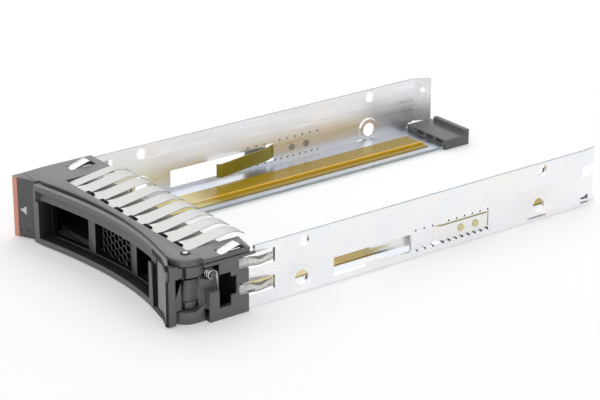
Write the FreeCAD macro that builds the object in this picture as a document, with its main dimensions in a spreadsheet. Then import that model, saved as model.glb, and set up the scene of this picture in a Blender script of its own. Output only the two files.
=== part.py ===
import FreeCAD, Part
import math
import os
import re
import Sketcher

# Hot swap drive caddy: two bent steel rails carried by a moulded bezel with a swing lever.
# Millimetres. X across the caddy, Y from the bezel (-Y) to the rear (+Y), Z up.
# The origin lies in the middle of the footprint, on the surface that the caddy rests on.

# Driving dimensions. "depth" sizes are measured back from the foremost edge of the bezel.
SIZES = {
    # Whole caddy
    "carrier_length": 137.4,
    "bay_width": 70.7,
    "fit_gap": 0.1,
    # Rails: one sheet, bent along the lower edge into a shelf
    "rail_sheet": 0.8,
    "rail_height": 15.4,
    "rail_lift": 0.4,
    "shelf_width": 17.4,
    "shelf_front_depth": 12.0,
    "wall_front_depth": 20.6,
    "tail_length": 6.4,
    "tail_run": 5.5,
    "tail_angle": 27.0,
    "tail_lift": 3.2,
    "relief_length": 3.0,
    "relief_height": 2.4,
    "notch_length": 1.4,
    "notch_low": 8.5,
    "notch_height": 2.9,
    "tail_hole_height": 12.6,
    "tail_hole_radius": 0.7,
    # Drive screw seats, at the drive's own spacing
    "screw_depth": 38.1,
    "screw_spacing": 76.6,
    "screw_height": 3.0,
    "screw_radius": 1.9,
    "seat_radius": 3.4,
    "seat_sink": 0.38,
    "seat_root": 0.1,
    "small_hole_radius": 1.45,
    "small_hole_height": 13.7,
    "small_hole_shift": 0.5,
    # Rail windows
    "finger_window_depth": 21.4,
    "finger_window_length": 8.6,
    "upper_window_low": 10.5,
    "upper_window_height": 3.6,
    "lower_window_low": 3.7,
    "lower_window_height": 3.4,
    "spring_window_shift": 25.6,
    "spring_window_length": 24.2,
    "spring_window_low": 2.1,
    "spring_window_height": 4.7,
    "fold_slot_depth": 110.7,
    "fold_slot_length": 6.5,
    "fold_slot_low": 0.85,
    "fold_slot_height": 0.6,
    # Coined seat of the leaf spring, with its slot and its rows of dots
    "seat_depth": 73.1,
    "seat_length": 23.9,
    "seat_low": 2.2,
    "seat_height": 5.0,
    "coin": 0.4,
    "pass_shift": 5.8,
    "pass_length": 2.6,
    "dot_pitch": 2.6,
    "dot_count": 10,
    "dot_radius": 0.5,
    "dot_rise": 0.15,
    "dot_offset": 0.5,
    # Leaf spring and its rivets
    "leaf_sheet": 0.4,
    "leaf_low": 2.8,
    "leaf_height": 3.8,
    "leaf_inset": 0.3,
    "leaf_gap": 0.3,
    "leaf_reach": 12.7,
    "leaf_stand": 3.4,
    "leaf_hook": 1.4,
    "rivet_shift": 14.7,
    "rivet_spacing": 4.9,
    "rivet_radius": 1.0,
    "rivet_head": 1.3,
    "rivet_rise": 0.2,
    # Insulating film on the shelf
    "film_inset": 5.3,
    "film_width": 9.7,
    "film_front_depth": 20.2,
    "film_margins": 33.0,
    "film_sheet": 0.25,
    "film_ridge_inset": 6.8,
    "film_ridge_width": 0.6,
    "film_ridge_rise": 0.5,
    # Rear guides
    "guide_length": 8.9,
    "guide_inset": 1.0,
    "guide_overhang": 0.5,
    "guide_height": 3.0,
    "guide_lip_height": 4.6,
    "guide_lip": 1.5,
    "guide_lip_inset": 2.8,
    "guide_cells": 3,
    "guide_cell": 2.6,
    "guide_cell_sink": 1.0,
    # Bezel: skins outside the rails, floor, curved front wall and gasket deck
    "skin_gap": 0.25,
    "skin": 0.55,
    "nose_taper": 0.95,
    "nose_length": 9.7,
    "bezel_length": 24.0,
    "floor": 1.2,
    "body_height": 14.9,
    "floor_depth": 20.2,
    "seat_room": 0.5,
    "front_wall": 1.5,
    "wall_gap": 3.5,
    "deck_margins": 16.1,
    "deck_shift": 2.35,
    "deck_depth": 11.0,
    "deck_length": 8.5,
    "deck_sheet": 0.45,
    "deck_rise": 0.5,
    "tab_step": 0.8,
    "tab_notch_depth": 20.4,
    # Lever
    "arc_inset": 0.134,
    "arc_depth": 9.2,
    "lever_left_inset": 6.6,
    "lever_right_inset": 1.4,
    "lever_low": 0.2,
    "lever_high": 14.8,
    "lip_high": 15.8,
    "lip_wall": 0.8,
    "lever_wall": 3.2,
    "lever_side_wall": 1.3,
    "lever_side_depth": 5.7,
    "post_width": 1.15,
    "window_margins": 25.65,
    "window_low": 1.9,
    "window_high": 11.8,
    "recess_left_inset": 14.8,
    "recess_right_inset": 2.25,
    "recess_low": 0.9,
    "recess_high": 14.1,
    "recess_sink": 0.9,
    "panel_inset": 11.6,
    "panel_low": 1.6,
    "panel_sheet": 0.8,
    "panel_edge": 0.1,
    # Hinge of the lever
    "pin_inset": 4.45,
    "pin_depth": 8.3,
    "pin_radius": 1.0,
    "pin_gap": 0.04,
    "pin_sink": 0.8,
    "pin_recess": 0.2,
    "corner_radius": 4.3,
    "corner_gap": 0.3,
    "corner_sweep": 7.4,
    "plinth_height": 3.0,
    "low_ear_height": 1.6,
    "low_ear_radius": 2.6,
    "ear_web": 2.6,
    "ear_radius": 4.2,
    "ear_low": 11.6,
    "ear_high": 14.3,
    "corner_low": 14.5,
    "barrel_shift": 0.3,
    "barrel_depth": 13.0,
    "barrel_radius": 4.0,
    "barrel_height": 10.6,
    "barrel_notch": 1.3,
    "web_inset": 0.9,
    # Right side of the bezel beside the hinge
    "side_open_depth": 12.5,
    "post_depth": 15.8,
    "post_height": 6.6,
    "side_open_high": 13.4,
    "step_depth": 18.6,
    "step_end_depth": 19.8,
    "side_low": 1.6,
    "side_high": 10.7,
    "step_low": 4.6,
    "step_high": 9.4,
    # Cap
    "cap_sheet": 1.2,
    "cap_gap": 1.05,
    "cap_inset": 0.35,
    "cap_slot_width": 2.9,
    "cap_slot_depth": 14.6,
    "cap_slot_length": 7.2,
    "left_slot_inset": 3.65,
    "right_slot_inset": 0.75,
    # Corner block with the latch and the indicator plate
    "block_inset": 6.4,
    "block_depth": 10.4,
    "seam_depth": 3.4,
    "latch_overhang": 0.65,
    "latch_inset": 1.3,
    "plate_left_inset": 1.4,
    "plate_right_inset": 6.3,
    "face_low": 0.2,
    "face_high": 16.2,
    "corner_round": 1.2,
    "arm_depth": 5.8,
    "arm_height": 8.0,
    "arm_side": 1.6,
    "latch_travel": 1.5,
    "neck_side": 3.2,
    "neck_inset": 0.95,
    "neck_wall_inset": 1.75,
    "neck_wall": 0.6,
    "cavity_inset": 5.75,
    "cavity_radius": 2.1,
    "collar_radius": 1.8,
    "collar_sheet": 0.5,
    "mark_sink": 1.6,
    "mark_inset": 1.8,
    "mark_width": 1.8,
    "mark_height": 2.35,
    "mark_low": 6.45,
    "dot_mark_radius": 0.36,
    "dot_mark_inset": 1.95,
    "dot_mark_step": 2.0,
    "dot_mark_height": 2.2,
    # Springs
    "latch_coil_radius": 1.5,
    "latch_wire": 0.5,
    "latch_gap": 0.3,
    "neck_side_gap": 0.4,
    "latch_turns": 3.0,
    "kick_coil_radius": 1.3,
    "kick_wire": 0.45,
    "kick_turns": 2.75,
    "kick_pitch": 0.8,
    "kick_depth": 13.9,
    "kick_height": 11.0,
    "kick_inset": 2.25,
    "kick_boss_radius": 0.9,
    "kick_gap": 0.65,
    "kick_lug_reach": 1.08,
    "kick_lug_gap": 0.9,
    "kick_lug_sheet": 0.9,
    "kick_boss_root": 0.45,
    # Vent screen behind the middle pane
    "rib_left": 15.45,
    "rib_width": 2.5,
    "second_rib": 1.65,
    "screen_sheet": 0.6,
    "screen_depth": 13.2,
    "cell_radius": 0.95,
    "cell_pitch": 2.0,
    "cell_columns": 7,
    "cell_rows": 4,
    "cell_turn": 30.0,
    "cell_drop": 0.25,
    # Finger gaskets
    "gasket_sheet": 0.16,
    "gasket_gap": 0.05,
    "finger_count": 8,
    "finger_inset": 15.3,
    "finger_overhang": 0.2,
    "finger_width": 5.0,
    "finger_taper": 0.3,
    "narrow_finger_width": 3.5,
    "narrow_finger_inset": 10.75,
    "finger_root_depth": 11.0,
    "finger_crest_depth": 21.2,
    "finger_tip_depth": 26.6,
    "finger_crest": 17.5,
    "finger_tip": 16.1,
    "gasket_inset": 6.15,
    "corner_crest_depth": 19.2,
    "corner_crest": 17.6,
    "corner_root_depth": 14.9,
    "corner_tip_depth": 21.2,
    "corner_tip": 16.6,
    "corner_finger_width": 2.4,
    "side_finger_end": 29.4,
    "side_finger_bow": 1.4,
    "side_finger_hook": 0.5,
    "side_finger_width": 2.5,
    "side_finger_high": 10.8,
    "side_finger_low": 3.9,
    "side_plate_depth": 20.0,
    "side_plate_length": 0.9,
    "side_plate_low": 1.6,
}

# Places and lengths that follow from the driving dimensions, as formulas of the sheet
FOLLOWING = {
    "arc_radius": "((bay_width / 2 - arc_inset) ^ 2 + arc_depth ^ 2) / (2 * arc_depth)",
    "lever_left": "bay_width / 2 - lever_left_inset",
    "lever_right": "bay_width / 2 - lever_right_inset",
    "recess_left": "bay_width / 2 - recess_left_inset",
    "recess_right": "bay_width / 2 - recess_right_inset",
    "panel_left": "bay_width / 2 - panel_inset",
    "pin_x": "bay_width / 2 - pin_inset",
    "block_right": "bay_width / 2 - block_inset",
    "latch_inner": "bay_width / 2 - latch_inset",
    "plate_left": "bay_width / 2 - plate_left_inset",
    "plate_right": "bay_width / 2 - plate_right_inset",
    "neck_right": "bay_width / 2 - neck_inset",
    "neck_wall_left": "bay_width / 2 - neck_wall_inset",
    "cavity_right": "bay_width / 2 - cavity_inset",
    "mark_tip": "bay_width / 2 - mark_inset",
    "dot_mark_left": "bay_width / 2 - dot_mark_inset",
    "kick_left": "bay_width / 2 - kick_inset",
    "finger_left": "bay_width / 2 - finger_inset",
    "narrow_finger_left": "bay_width / 2 - narrow_finger_inset",
    "gasket_base_end": "bay_width / 2 - gasket_inset",
    "latch_outer": "bay_width / 2 + latch_overhang",
    "deck_width": "bay_width - deck_margins",
    "window_width": "bay_width - window_margins",
    "finger_pitch": "(gasket_base_end + finger_overhang + finger_left - finger_width) / (finger_count - 1)",
    "film_length": "carrier_length - film_margins",
    "pass_depth": "seat_depth + pass_shift",
    "rivet_depth": "seat_depth + rivet_shift",
    "leaf_end_depth": "seat_depth - leaf_reach",
    "spring_window_depth": "seat_depth - spring_window_shift",
}

doc = FreeCAD.newDocument("drive_caddy")
sheet = doc.addObject("Spreadsheet::Sheet", "sizes")
rows = list(SIZES.items()) + [(alias, f"={text}") for alias, text in FOLLOWING.items()]
for row, (alias, value) in enumerate(rows, start=1):
    sheet.set(f"A{row}", alias.replace("_", " "))
    sheet.set(f"B{row}", str(value))
    sheet.setAlias(f"B{row}", alias)
doc.recompute()

# Places that follow from the driving dimensions, as expressions over the sheet
WALL_IN = "(bay_width / 2)"
WALL_OUT = f"({WALL_IN} + rail_sheet)"
SKIN_IN = f"({WALL_OUT} + skin_gap)"
SKIN_OUT = f"({SKIN_IN} + skin)"
SHELF_TOP = "(rail_lift + rail_sheet)"
RAIL_TOP = "(rail_lift + rail_height)"
CAP_LOW = "(body_height + gasket_sheet)"
CAP_TOP = f"({CAP_LOW} + cap_sheet)"
DECK_TOP = "(body_height + deck_rise)"
REAR = "(carrier_length / 2)"


def back(depth):
    """Y of a place given by its depth behind the foremost edge."""
    return f"({depth} - carrier_length / 2)"


ARC_Y = f"({back('arc_depth')} - arc_radius)"
PIN_Y = back("pin_depth")
SEAM_Y = back("seam_depth")
ARM_Y = back("arm_depth")
BARREL_X = "(pin_x - barrel_shift)"
TAIL_Y = f"({REAR} - tail_length)"
SCREW_Z = f"({SHELF_TOP} + screw_height)"
SCREWS = (back("screw_depth"), back("screw_depth + screw_spacing"))
# Reach of tool bodies past the faces that they cut
OVER = "2"
FUNCTIONS = ("sin", "cos", "tan", "sqrt")


def formula(text):
    """Points the words of an expression at the sheet."""
    def cell(match):
        word = match.group(0)
        return word if word in FUNCTIONS else f"sizes.{word}"
    return re.sub(r"[a-z_]{2,}", cell, text)


def bind(item, values):
    """Binds each property of an object to its expression."""
    for path, text in values.items():
        item.setExpression(path, formula(text))


def value_of(text):
    """Value of an expression over the sheet, for shapes that no primitive gives."""
    return float(sheet.evalExpression(formula(text)))


def box(name, x, y, z):
    """Box between two expressions on each axis."""
    item = doc.addObject("Part::Box", name)
    bind(item, {
        "Length": f"{x[1]} - {x[0]}",
        "Width": f"{y[1]} - {y[0]}",
        "Height": f"{z[1]} - {z[0]}",
        "Placement.Base.x": x[0],
        "Placement.Base.y": y[0],
        "Placement.Base.z": z[0],
    })
    return item


TURNS = {
    "z": FreeCAD.Rotation(),
    "x": FreeCAD.Rotation(FreeCAD.Vector(0, 1, 0), 90),
    "y": FreeCAD.Rotation(FreeCAD.Vector(1, 0, 0), -90),
}


def disc(name, axis, base, radius, length):
    """Cylinder from a base point along an axis."""
    item = doc.addObject("Part::Cylinder", name)
    item.Placement.Rotation = TURNS[axis]
    bind(item, {
        "Radius": radius,
        "Height": length,
        "Placement.Base.x": base[0],
        "Placement.Base.y": base[1],
        "Placement.Base.z": base[2],
    })
    return item


def cone(name, base, first, second, length):
    """Cone along X from its first radius to its second."""
    item = doc.addObject("Part::Cone", name)
    item.Placement.Rotation = TURNS["x"]
    bind(item, {
        "Radius1": first,
        "Radius2": second,
        "Height": length,
        "Placement.Base.x": base[0],
        "Placement.Base.y": base[1],
        "Placement.Base.z": base[2],
    })
    return item


def fuse(name, items):
    """One solid from several that meet."""
    item = doc.addObject("Part::MultiFuse", name)
    item.Shapes = items
    return item


def cut(name, base, tools):
    """The base without its tools."""
    item = doc.addObject("Part::Cut", name)
    item.Base = base
    item.Tool = tools[0] if len(tools) == 1 else fuse(f"{name}_tools", tools)
    return item


def common(name, first, second):
    """What two solids share."""
    item = doc.addObject("Part::Common", name)
    item.Base = first
    item.Tool = second
    return item


def mirrored(name, source):
    """The same piece on the other side of the caddy."""
    item = doc.addObject("Part::Mirroring", name)
    item.Source = source
    item.Normal = (1, 0, 0)
    return item


def shaped(name, shape):
    """A shape that neither a primitive nor a sketch gives."""
    item = doc.addObject("Part::Feature", name)
    item.Shape = shape
    item.Placement = FreeCAD.Placement()
    return item


def arc_disc(name, extra, z):
    """Disc about the centre of the bezel's hollow front, up to a given distance behind its face."""
    return disc(name, "z", ("0", ARC_Y, z[0]), f"arc_radius + {extra}", f"{z[1]} - {z[0]}")


def arc_slab(name, x, z, inner, outer):
    """Curved slab that follows the bezel's hollow front."""
    ring = cut(f"{name}_ring", arc_disc(f"{name}_outer", outer, z), [arc_disc(f"{name}_inner", inner, z)])
    return common(name, ring, box(f"{name}_span", x, (back(f"0 - {OVER}"), back("arc_depth * 2")), z))


def sketch(body, name, role, shift):
    """Sketch on an origin plane of its own body, moved along the plane's normal."""
    item = body.newObject("Sketcher::SketchObject", name)
    plane = next(p for p in body.Origin.OriginFeatures if p.Role == role)
    item.AttachmentSupport = (plane, [""])
    item.MapMode = "FlatFace"
    bind(item, {"AttachmentOffset.Base.z": shift})
    return item


def polygon(item, points):
    """Closed outline in a sketch, each corner held by two bound distances."""
    first = item.GeometryCount
    count = len(points)
    spots = [FreeCAD.Vector(value_of(u), value_of(v), 0) for u, v in points]
    for index, spot in enumerate(spots):
        item.addGeometry(Part.LineSegment(spot, spots[(index + 1) % count]), False)
    for index in range(count):
        following = first + (index + 1) % count
        item.addConstraint(Sketcher.Constraint("Coincident", first + index, 2, following, 1))
    for index, corner in enumerate(points):
        for kind, text in zip(("DistanceX", "DistanceY"), corner):
            rule = Sketcher.Constraint(kind, -1, 1, first + index, 1, value_of(text))
            bind(item, {f"Constraints[{item.addConstraint(rule)}]": text})


def rectangle(item, u, v):
    """Upright rectangle in a sketch."""
    polygon(item, [(u[0], v[0]), (u[1], v[0]), (u[1], v[1]), (u[0], v[1])])


def circle(item, centre, radius):
    """Circle in a sketch, held by its centre and radius."""
    spot = FreeCAD.Vector(value_of(centre[0]), value_of(centre[1]), 0)
    index = item.addGeometry(Part.Circle(spot, FreeCAD.Vector(0, 0, 1), value_of(radius)), False)
    for kind, text in zip(("DistanceX", "DistanceY"), centre):
        rule = Sketcher.Constraint(kind, -1, 1, index, 3, value_of(text))
        bind(item, {f"Constraints[{item.addConstraint(rule)}]": text})
    rule = Sketcher.Constraint("Radius", index, value_of(radius))
    bind(item, {f"Constraints[{item.addConstraint(rule)}]": radius})


def pad(body, name, outline, length):
    """Material from a sketch along its normal."""
    item = body.newObject("PartDesign::Pad", name)
    item.Profile = outline
    bind(item, {"Length": length})
    return item


def pocket(body, name, outline, length):
    """Cut from a sketch against its normal."""
    item = body.newObject("PartDesign::Pocket", name)
    item.Profile = outline
    bind(item, {"Length": length})
    return item


def arch(name, crest, ends, across, thickness):
    """Arched spring finger: two arcs that share a level crest, cut to the finger's ends and width."""
    parts = []
    for index, (end_y, end_z) in enumerate(ends):
        reach = f"({end_y} - {crest[0]})"
        drop = f"({crest[1]} - {end_z})"
        radius = f"(({reach} * {reach} + {drop} * {drop}) / (2 * {drop}))"
        centre = (across[0], crest[0], f"({crest[1]} - {radius})")
        width = f"({across[1]} - {across[0]})"
        outer = disc(f"{name}_outer_{index}", "x", centre, radius, width)
        inner = disc(f"{name}_inner_{index}", "x", centre, f"({radius} - {thickness})", width)
        ring = cut(f"{name}_ring_{index}", outer, [inner])
        span = (end_y, crest[0]) if index == 0 else (crest[0], end_y)
        low = f"({end_z} - {thickness})"
        window = box(f"{name}_window_{index}", across, span, (low, f"({crest[1]} + {OVER})"))
        parts.append(common(f"{name}_side_{index}", ring, window))
    return fuse(name, parts)


def coil(start, radius, wire, pitch, turns, leg=None):
    """Round wire wound left-handed about an axis along X, with an optional straight leg at its end."""
    path = Part.makeHelix(pitch, pitch * turns, radius, 0, True).Edges
    if leg:
        end = path[-1].Vertexes[-1].Point
        path.append(Part.LineSegment(end, end + FreeCAD.Vector(leg, 0, 0)).toShape())
    section = Part.Wire(Part.makeCircle(wire / 2, FreeCAD.Vector(radius, 0, 0), FreeCAD.Vector(0, 1, 0)))
    shape = Part.Wire(path).makePipeShell([section], True, True)
    return shape.transformed(FreeCAD.Placement(start, TURNS["x"]).toMatrix(), True)


def rail(name):
    """Right-hand rail: a sheet bent into a wall and a shelf, with windows, screw seats and a tail."""
    body = doc.addObject("PartDesign::Body", f"{name}_sheet")
    wall = sketch(body, f"{name}_wall_outline", "YZ_Plane", WALL_IN)
    polygon(wall, [
        (back("wall_front_depth"), "rail_lift"),
        (f"{TAIL_Y} - relief_length / 2", "rail_lift"),
        (f"{TAIL_Y} - relief_length / 2", "(rail_lift + relief_height)"),
        (TAIL_Y, "(rail_lift + relief_height)"),
        (TAIL_Y, RAIL_TOP),
        (back("bezel_length + skin_gap"), RAIL_TOP),
        (back("bezel_length + skin_gap"), "body_height"),
        (back("wall_front_depth"), "body_height"),
    ])
    pad(body, f"{name}_wall", wall, "rail_sheet")
    shelf = sketch(body, f"{name}_shelf_outline", "XY_Plane", "rail_lift")
    polygon(shelf, [
        (f"{WALL_IN} - shelf_width", back("shelf_front_depth")),
        (WALL_IN, back("shelf_front_depth")),
        (WALL_IN, back("wall_front_depth")),
        (WALL_OUT, back("wall_front_depth")),
        (WALL_OUT, f"{TAIL_Y} - relief_length / 2"),
        (f"{WALL_IN} - guide_inset", f"{TAIL_Y} - relief_length / 2"),
        (f"{WALL_IN} - guide_inset", f"{REAR} - guide_lip / 2"),
        (f"{WALL_IN} - shelf_width", f"{REAR} - guide_lip / 2"),
    ])
    pad(body, f"{name}_shelf", shelf, "rail_sheet")
    tail = sketch(body, f"{name}_tail_outline", "XY_Plane", "tail_lift")
    run_x = "tail_run * sin(tail_angle)"
    run_y = "tail_run * cos(tail_angle)"
    polygon(tail, [
        (WALL_IN, f"{TAIL_Y} - rail_sheet"),
        (WALL_OUT, f"{TAIL_Y} - rail_sheet"),
        (WALL_OUT, TAIL_Y),
        (f"{WALL_OUT} - {run_x}", f"{TAIL_Y} + {run_y}"),
        (f"{WALL_IN} - {run_x}", f"{TAIL_Y} + {run_y}"),
        (WALL_IN, TAIL_Y),
    ])
    pad(body, f"{name}_tail", tail, f"{RAIL_TOP} - tail_lift")
    windows = sketch(body, f"{name}_window_outline", "YZ_Plane", WALL_OUT)
    for depth, length, low, height in (
        ("finger_window_depth", "finger_window_length", "upper_window_low", "upper_window_height"),
        ("finger_window_depth", "finger_window_length", "lower_window_low", "lower_window_height"),
        ("spring_window_depth", "spring_window_length", "spring_window_low", "spring_window_height"),
        ("pass_depth", "pass_length", "seat_low", "seat_height"),
        ("fold_slot_depth", "fold_slot_length", "fold_slot_low", "fold_slot_height"),
    ):
        span = (back(depth), back(f"{depth} + {length}"))
        rectangle(windows, span, (low, f"{low} + {height}"))
    for spot in SCREWS:
        circle(windows, (f"{spot} + small_hole_shift", "small_hole_height"), "small_hole_radius")
    pocket(body, f"{name}_windows", windows, "rail_sheet")
    coined = sketch(body, f"{name}_coin_outline", "YZ_Plane", WALL_OUT)
    span = (back("seat_depth"), back("seat_depth + seat_length"))
    rectangle(coined, span, ("seat_low", "seat_low + seat_height"))
    pocket(body, f"{name}_coin", coined, "coin")
    seats = []
    holes = []
    for index, spot in enumerate(SCREWS):
        inner = (f"{WALL_IN} - seat_sink", spot, SCREW_Z)
        seats.append(cone(f"{name}_seat_{index}", inner, "seat_radius - seat_sink", "seat_radius",
                          "seat_sink + seat_root"))
        dish = (f"{WALL_OUT} - seat_sink", spot, SCREW_Z)
        holes.append(cone(f"{name}_dish_{index}", dish, "seat_radius - seat_sink * 2", "seat_radius",
                          "seat_sink"))
        start = (f"{WALL_IN} - {OVER}", spot, SCREW_Z)
        holes.append(disc(f"{name}_screw_{index}", "x", start, "screw_radius", f"{OVER} * 2"))
    dots = []
    for index in range(SIZES["dot_count"]):
        for low in ("seat_low - dot_offset", "seat_low + seat_height + dot_offset"):
            spot = (f"{WALL_OUT} - coin", back(f"seat_depth + dot_pitch * {index}"), f"({low})")
            dots.append(disc(f"{name}_dot", "x", spot, "dot_radius", "coin + dot_rise"))
    rivets = [disc(f"{name}_rivet_hole", "x", (f"{WALL_IN} - {OVER}", back(f"rivet_depth + rivet_spacing * {i}"),
                                               "leaf_low + leaf_height / 2"), "rivet_radius", f"{OVER} * 2")
              for i in range(2)]
    return cut(f"{name}_plain", fuse(f"{name}_solid", [body] + seats + dots), holes + rivets)


def strip(outline, thickness, low, height):
    """Upright strip of sheet that follows a line of corners seen from above."""
    half = thickness / 2
    sides = ([], [])
    for index, (x, y) in enumerate(outline):
        before = outline[max(index - 1, 0)]
        after = outline[min(index + 1, len(outline) - 1)]
        into = math.atan2(y - before[1], x - before[0]) if index else None
        out = math.atan2(after[1] - y, after[0] - x) if index < len(outline) - 1 else into
        into = out if into is None else into
        bend = (out - into + math.pi) % (2 * math.pi) - math.pi
        reach = half / math.cos(bend / 2)
        normal = into + bend / 2 + math.pi / 2
        for side, sign in zip(sides, (1, -1)):
            side.append(FreeCAD.Vector(x + sign * reach * math.cos(normal),
                                       y + sign * reach * math.sin(normal), low))
    corners = sides[0] + sides[1][::-1]
    face = Part.Face(Part.makePolygon(corners + corners[:1]))
    return face.extrude(FreeCAD.Vector(0, 0, height))


def leaf_spring(name):
    """Amber leaf: riveted in the coined seat outside, through the wall, and forward along the inside."""
    outside = value_of(f"{WALL_OUT} - coin + leaf_sheet / 2")
    inside = value_of(f"{WALL_IN} - leaf_inset - leaf_sheet / 2")
    stand = value_of(f"{WALL_IN} - leaf_stand - leaf_sheet / 2")
    gap = value_of("leaf_gap")
    outline = [
        (outside, value_of(back("seat_depth + seat_length")) - gap),
        (outside, value_of(back("pass_depth + pass_length")) - gap),
        (inside, value_of(back("pass_depth")) + gap),
        (stand, value_of(back("leaf_end_depth + leaf_hook"))),
        (stand + value_of("leaf_hook / 2"), value_of(back("leaf_end_depth"))),
    ]
    shape = strip(outline, value_of("leaf_sheet"), value_of("leaf_low"), value_of("leaf_height"))
    plain = shaped(f"{name}_strip", shape)
    holes = [disc(f"{name}_hole", "x", (WALL_IN, back(f"rivet_depth + rivet_spacing * {i}"),
                                        "leaf_low + leaf_height / 2"), "rivet_radius", OVER) for i in range(2)]
    return cut(name, plain, holes)


def leaf_rivets(name):
    """Two rivets that hold a leaf spring in its seat."""
    rivets = []
    for index in range(2):
        spot = back(f"rivet_depth + rivet_spacing * {index}")
        height = "leaf_low + leaf_height / 2"
        shank = disc(f"{name}_shank", "x", (f"{WALL_IN} - rivet_rise", spot, height), "rivet_radius",
                     "rail_sheet - coin + leaf_sheet + rivet_rise * 2")
        inner = disc(f"{name}_inner", "x", (f"{WALL_IN} - rivet_rise", spot, height), "rivet_head", "rivet_rise")
        outer = disc(f"{name}_outer", "x", (f"{WALL_OUT} - coin + leaf_sheet", spot, height), "rivet_head",
                     "rivet_rise")
        rivets += [shank, inner, outer]
    return fuse(name, rivets)


def film(name):
    """Insulating film on the shelf, with its folded ridge."""
    right = f"({WALL_IN} - film_inset)"
    span = (back("film_front_depth"), back("film_front_depth + film_length"))
    base = box(f"{name}_base", (f"({right} - film_width)", right), span, (SHELF_TOP, f"({SHELF_TOP} + film_sheet)"))
    ridge_right = f"({right} - film_ridge_inset)"
    ridge = box(f"{name}_ridge", (f"({ridge_right} - film_ridge_width)", ridge_right), span,
                (SHELF_TOP, f"({SHELF_TOP} + film_sheet + film_ridge_rise)"))
    return fuse(name, [base, ridge])


def rear_guide(name):
    """Moulded guide that is pushed over the shelf's rear end."""
    right = f"({WALL_IN} - guide_inset)"
    left = f"({WALL_IN} - shelf_width - guide_overhang)"
    front = f"({REAR} - guide_length)"
    block = box(f"{name}_block", (left, right), (front, REAR), ("0", "guide_height"))
    lip_x = (left, f"({right} - guide_lip_inset)")
    lip = box(f"{name}_lip", lip_x, (f"({REAR} - guide_lip)", REAR), ("0", "guide_lip_height"))
    slot = box(f"{name}_slot", (f"({WALL_IN} - shelf_width)", f"({right} + {OVER})"),
               (f"({front} - {OVER})", f"({REAR} - guide_lip / 2)"), ("rail_lift", SHELF_TOP))
    cells = []
    for index in range(SIZES["guide_cells"]):
        cell_x = f"({left} + guide_lip + (guide_cell + guide_lip) * {index})"
        cells.append(box(f"{name}_cell", (cell_x, f"({cell_x} + guide_cell)"),
                         (f"({front} - {OVER})", f"({front} + guide_cell_sink)"),
                         (f"({SHELF_TOP} + rail_lift)", "(guide_height - rail_lift)")))
    return cut(name, fuse(f"{name}_solid", [block, lip]), [slot] + cells)


def outline(name, inset, z):
    """Plan of the bezel: straight sides that draw in towards the front."""
    half = f"({SKIN_OUT} - {inset})"
    nose = doc.addObject("Part::Wedge", f"{name}_nose")
    bind(nose, {
        "Ymin": back("0"),
        "Ymax": back("nose_length"),
        "Xmin": f"0 - ({half} - nose_taper)",
        "Xmax": f"{half} - nose_taper",
        "X2min": f"0 - {half}",
        "X2max": half,
        "Zmin": z[0],
        "Zmax": z[1],
        "Z2min": z[0],
        "Z2max": z[1],
    })
    rest = box(f"{name}_rest", (f"(0 - {half})", half), (back("nose_length"), back("bezel_length")), z)
    return fuse(name, [nose, rest])


def corner_waste(name, depth, z):
    """What lies outside the rounded hinge corner, ahead of a given depth."""
    waste = box(f"{name}_block", ("(pin_x - lever_side_wall)", f"({SKIN_OUT} + {OVER})"),
                (back("0"), back(depth)), z)
    round_end = disc(f"{name}_round", "z", ("pin_x", PIN_Y, z[0]), "corner_radius", f"{z[1]} - {z[0]}")
    flank = box(f"{name}_flank", ("(pin_x - corner_radius)", "(pin_x + corner_radius)"), (PIN_Y, back(depth)), z)
    return cut(name, waste, [round_end, flank])


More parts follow.
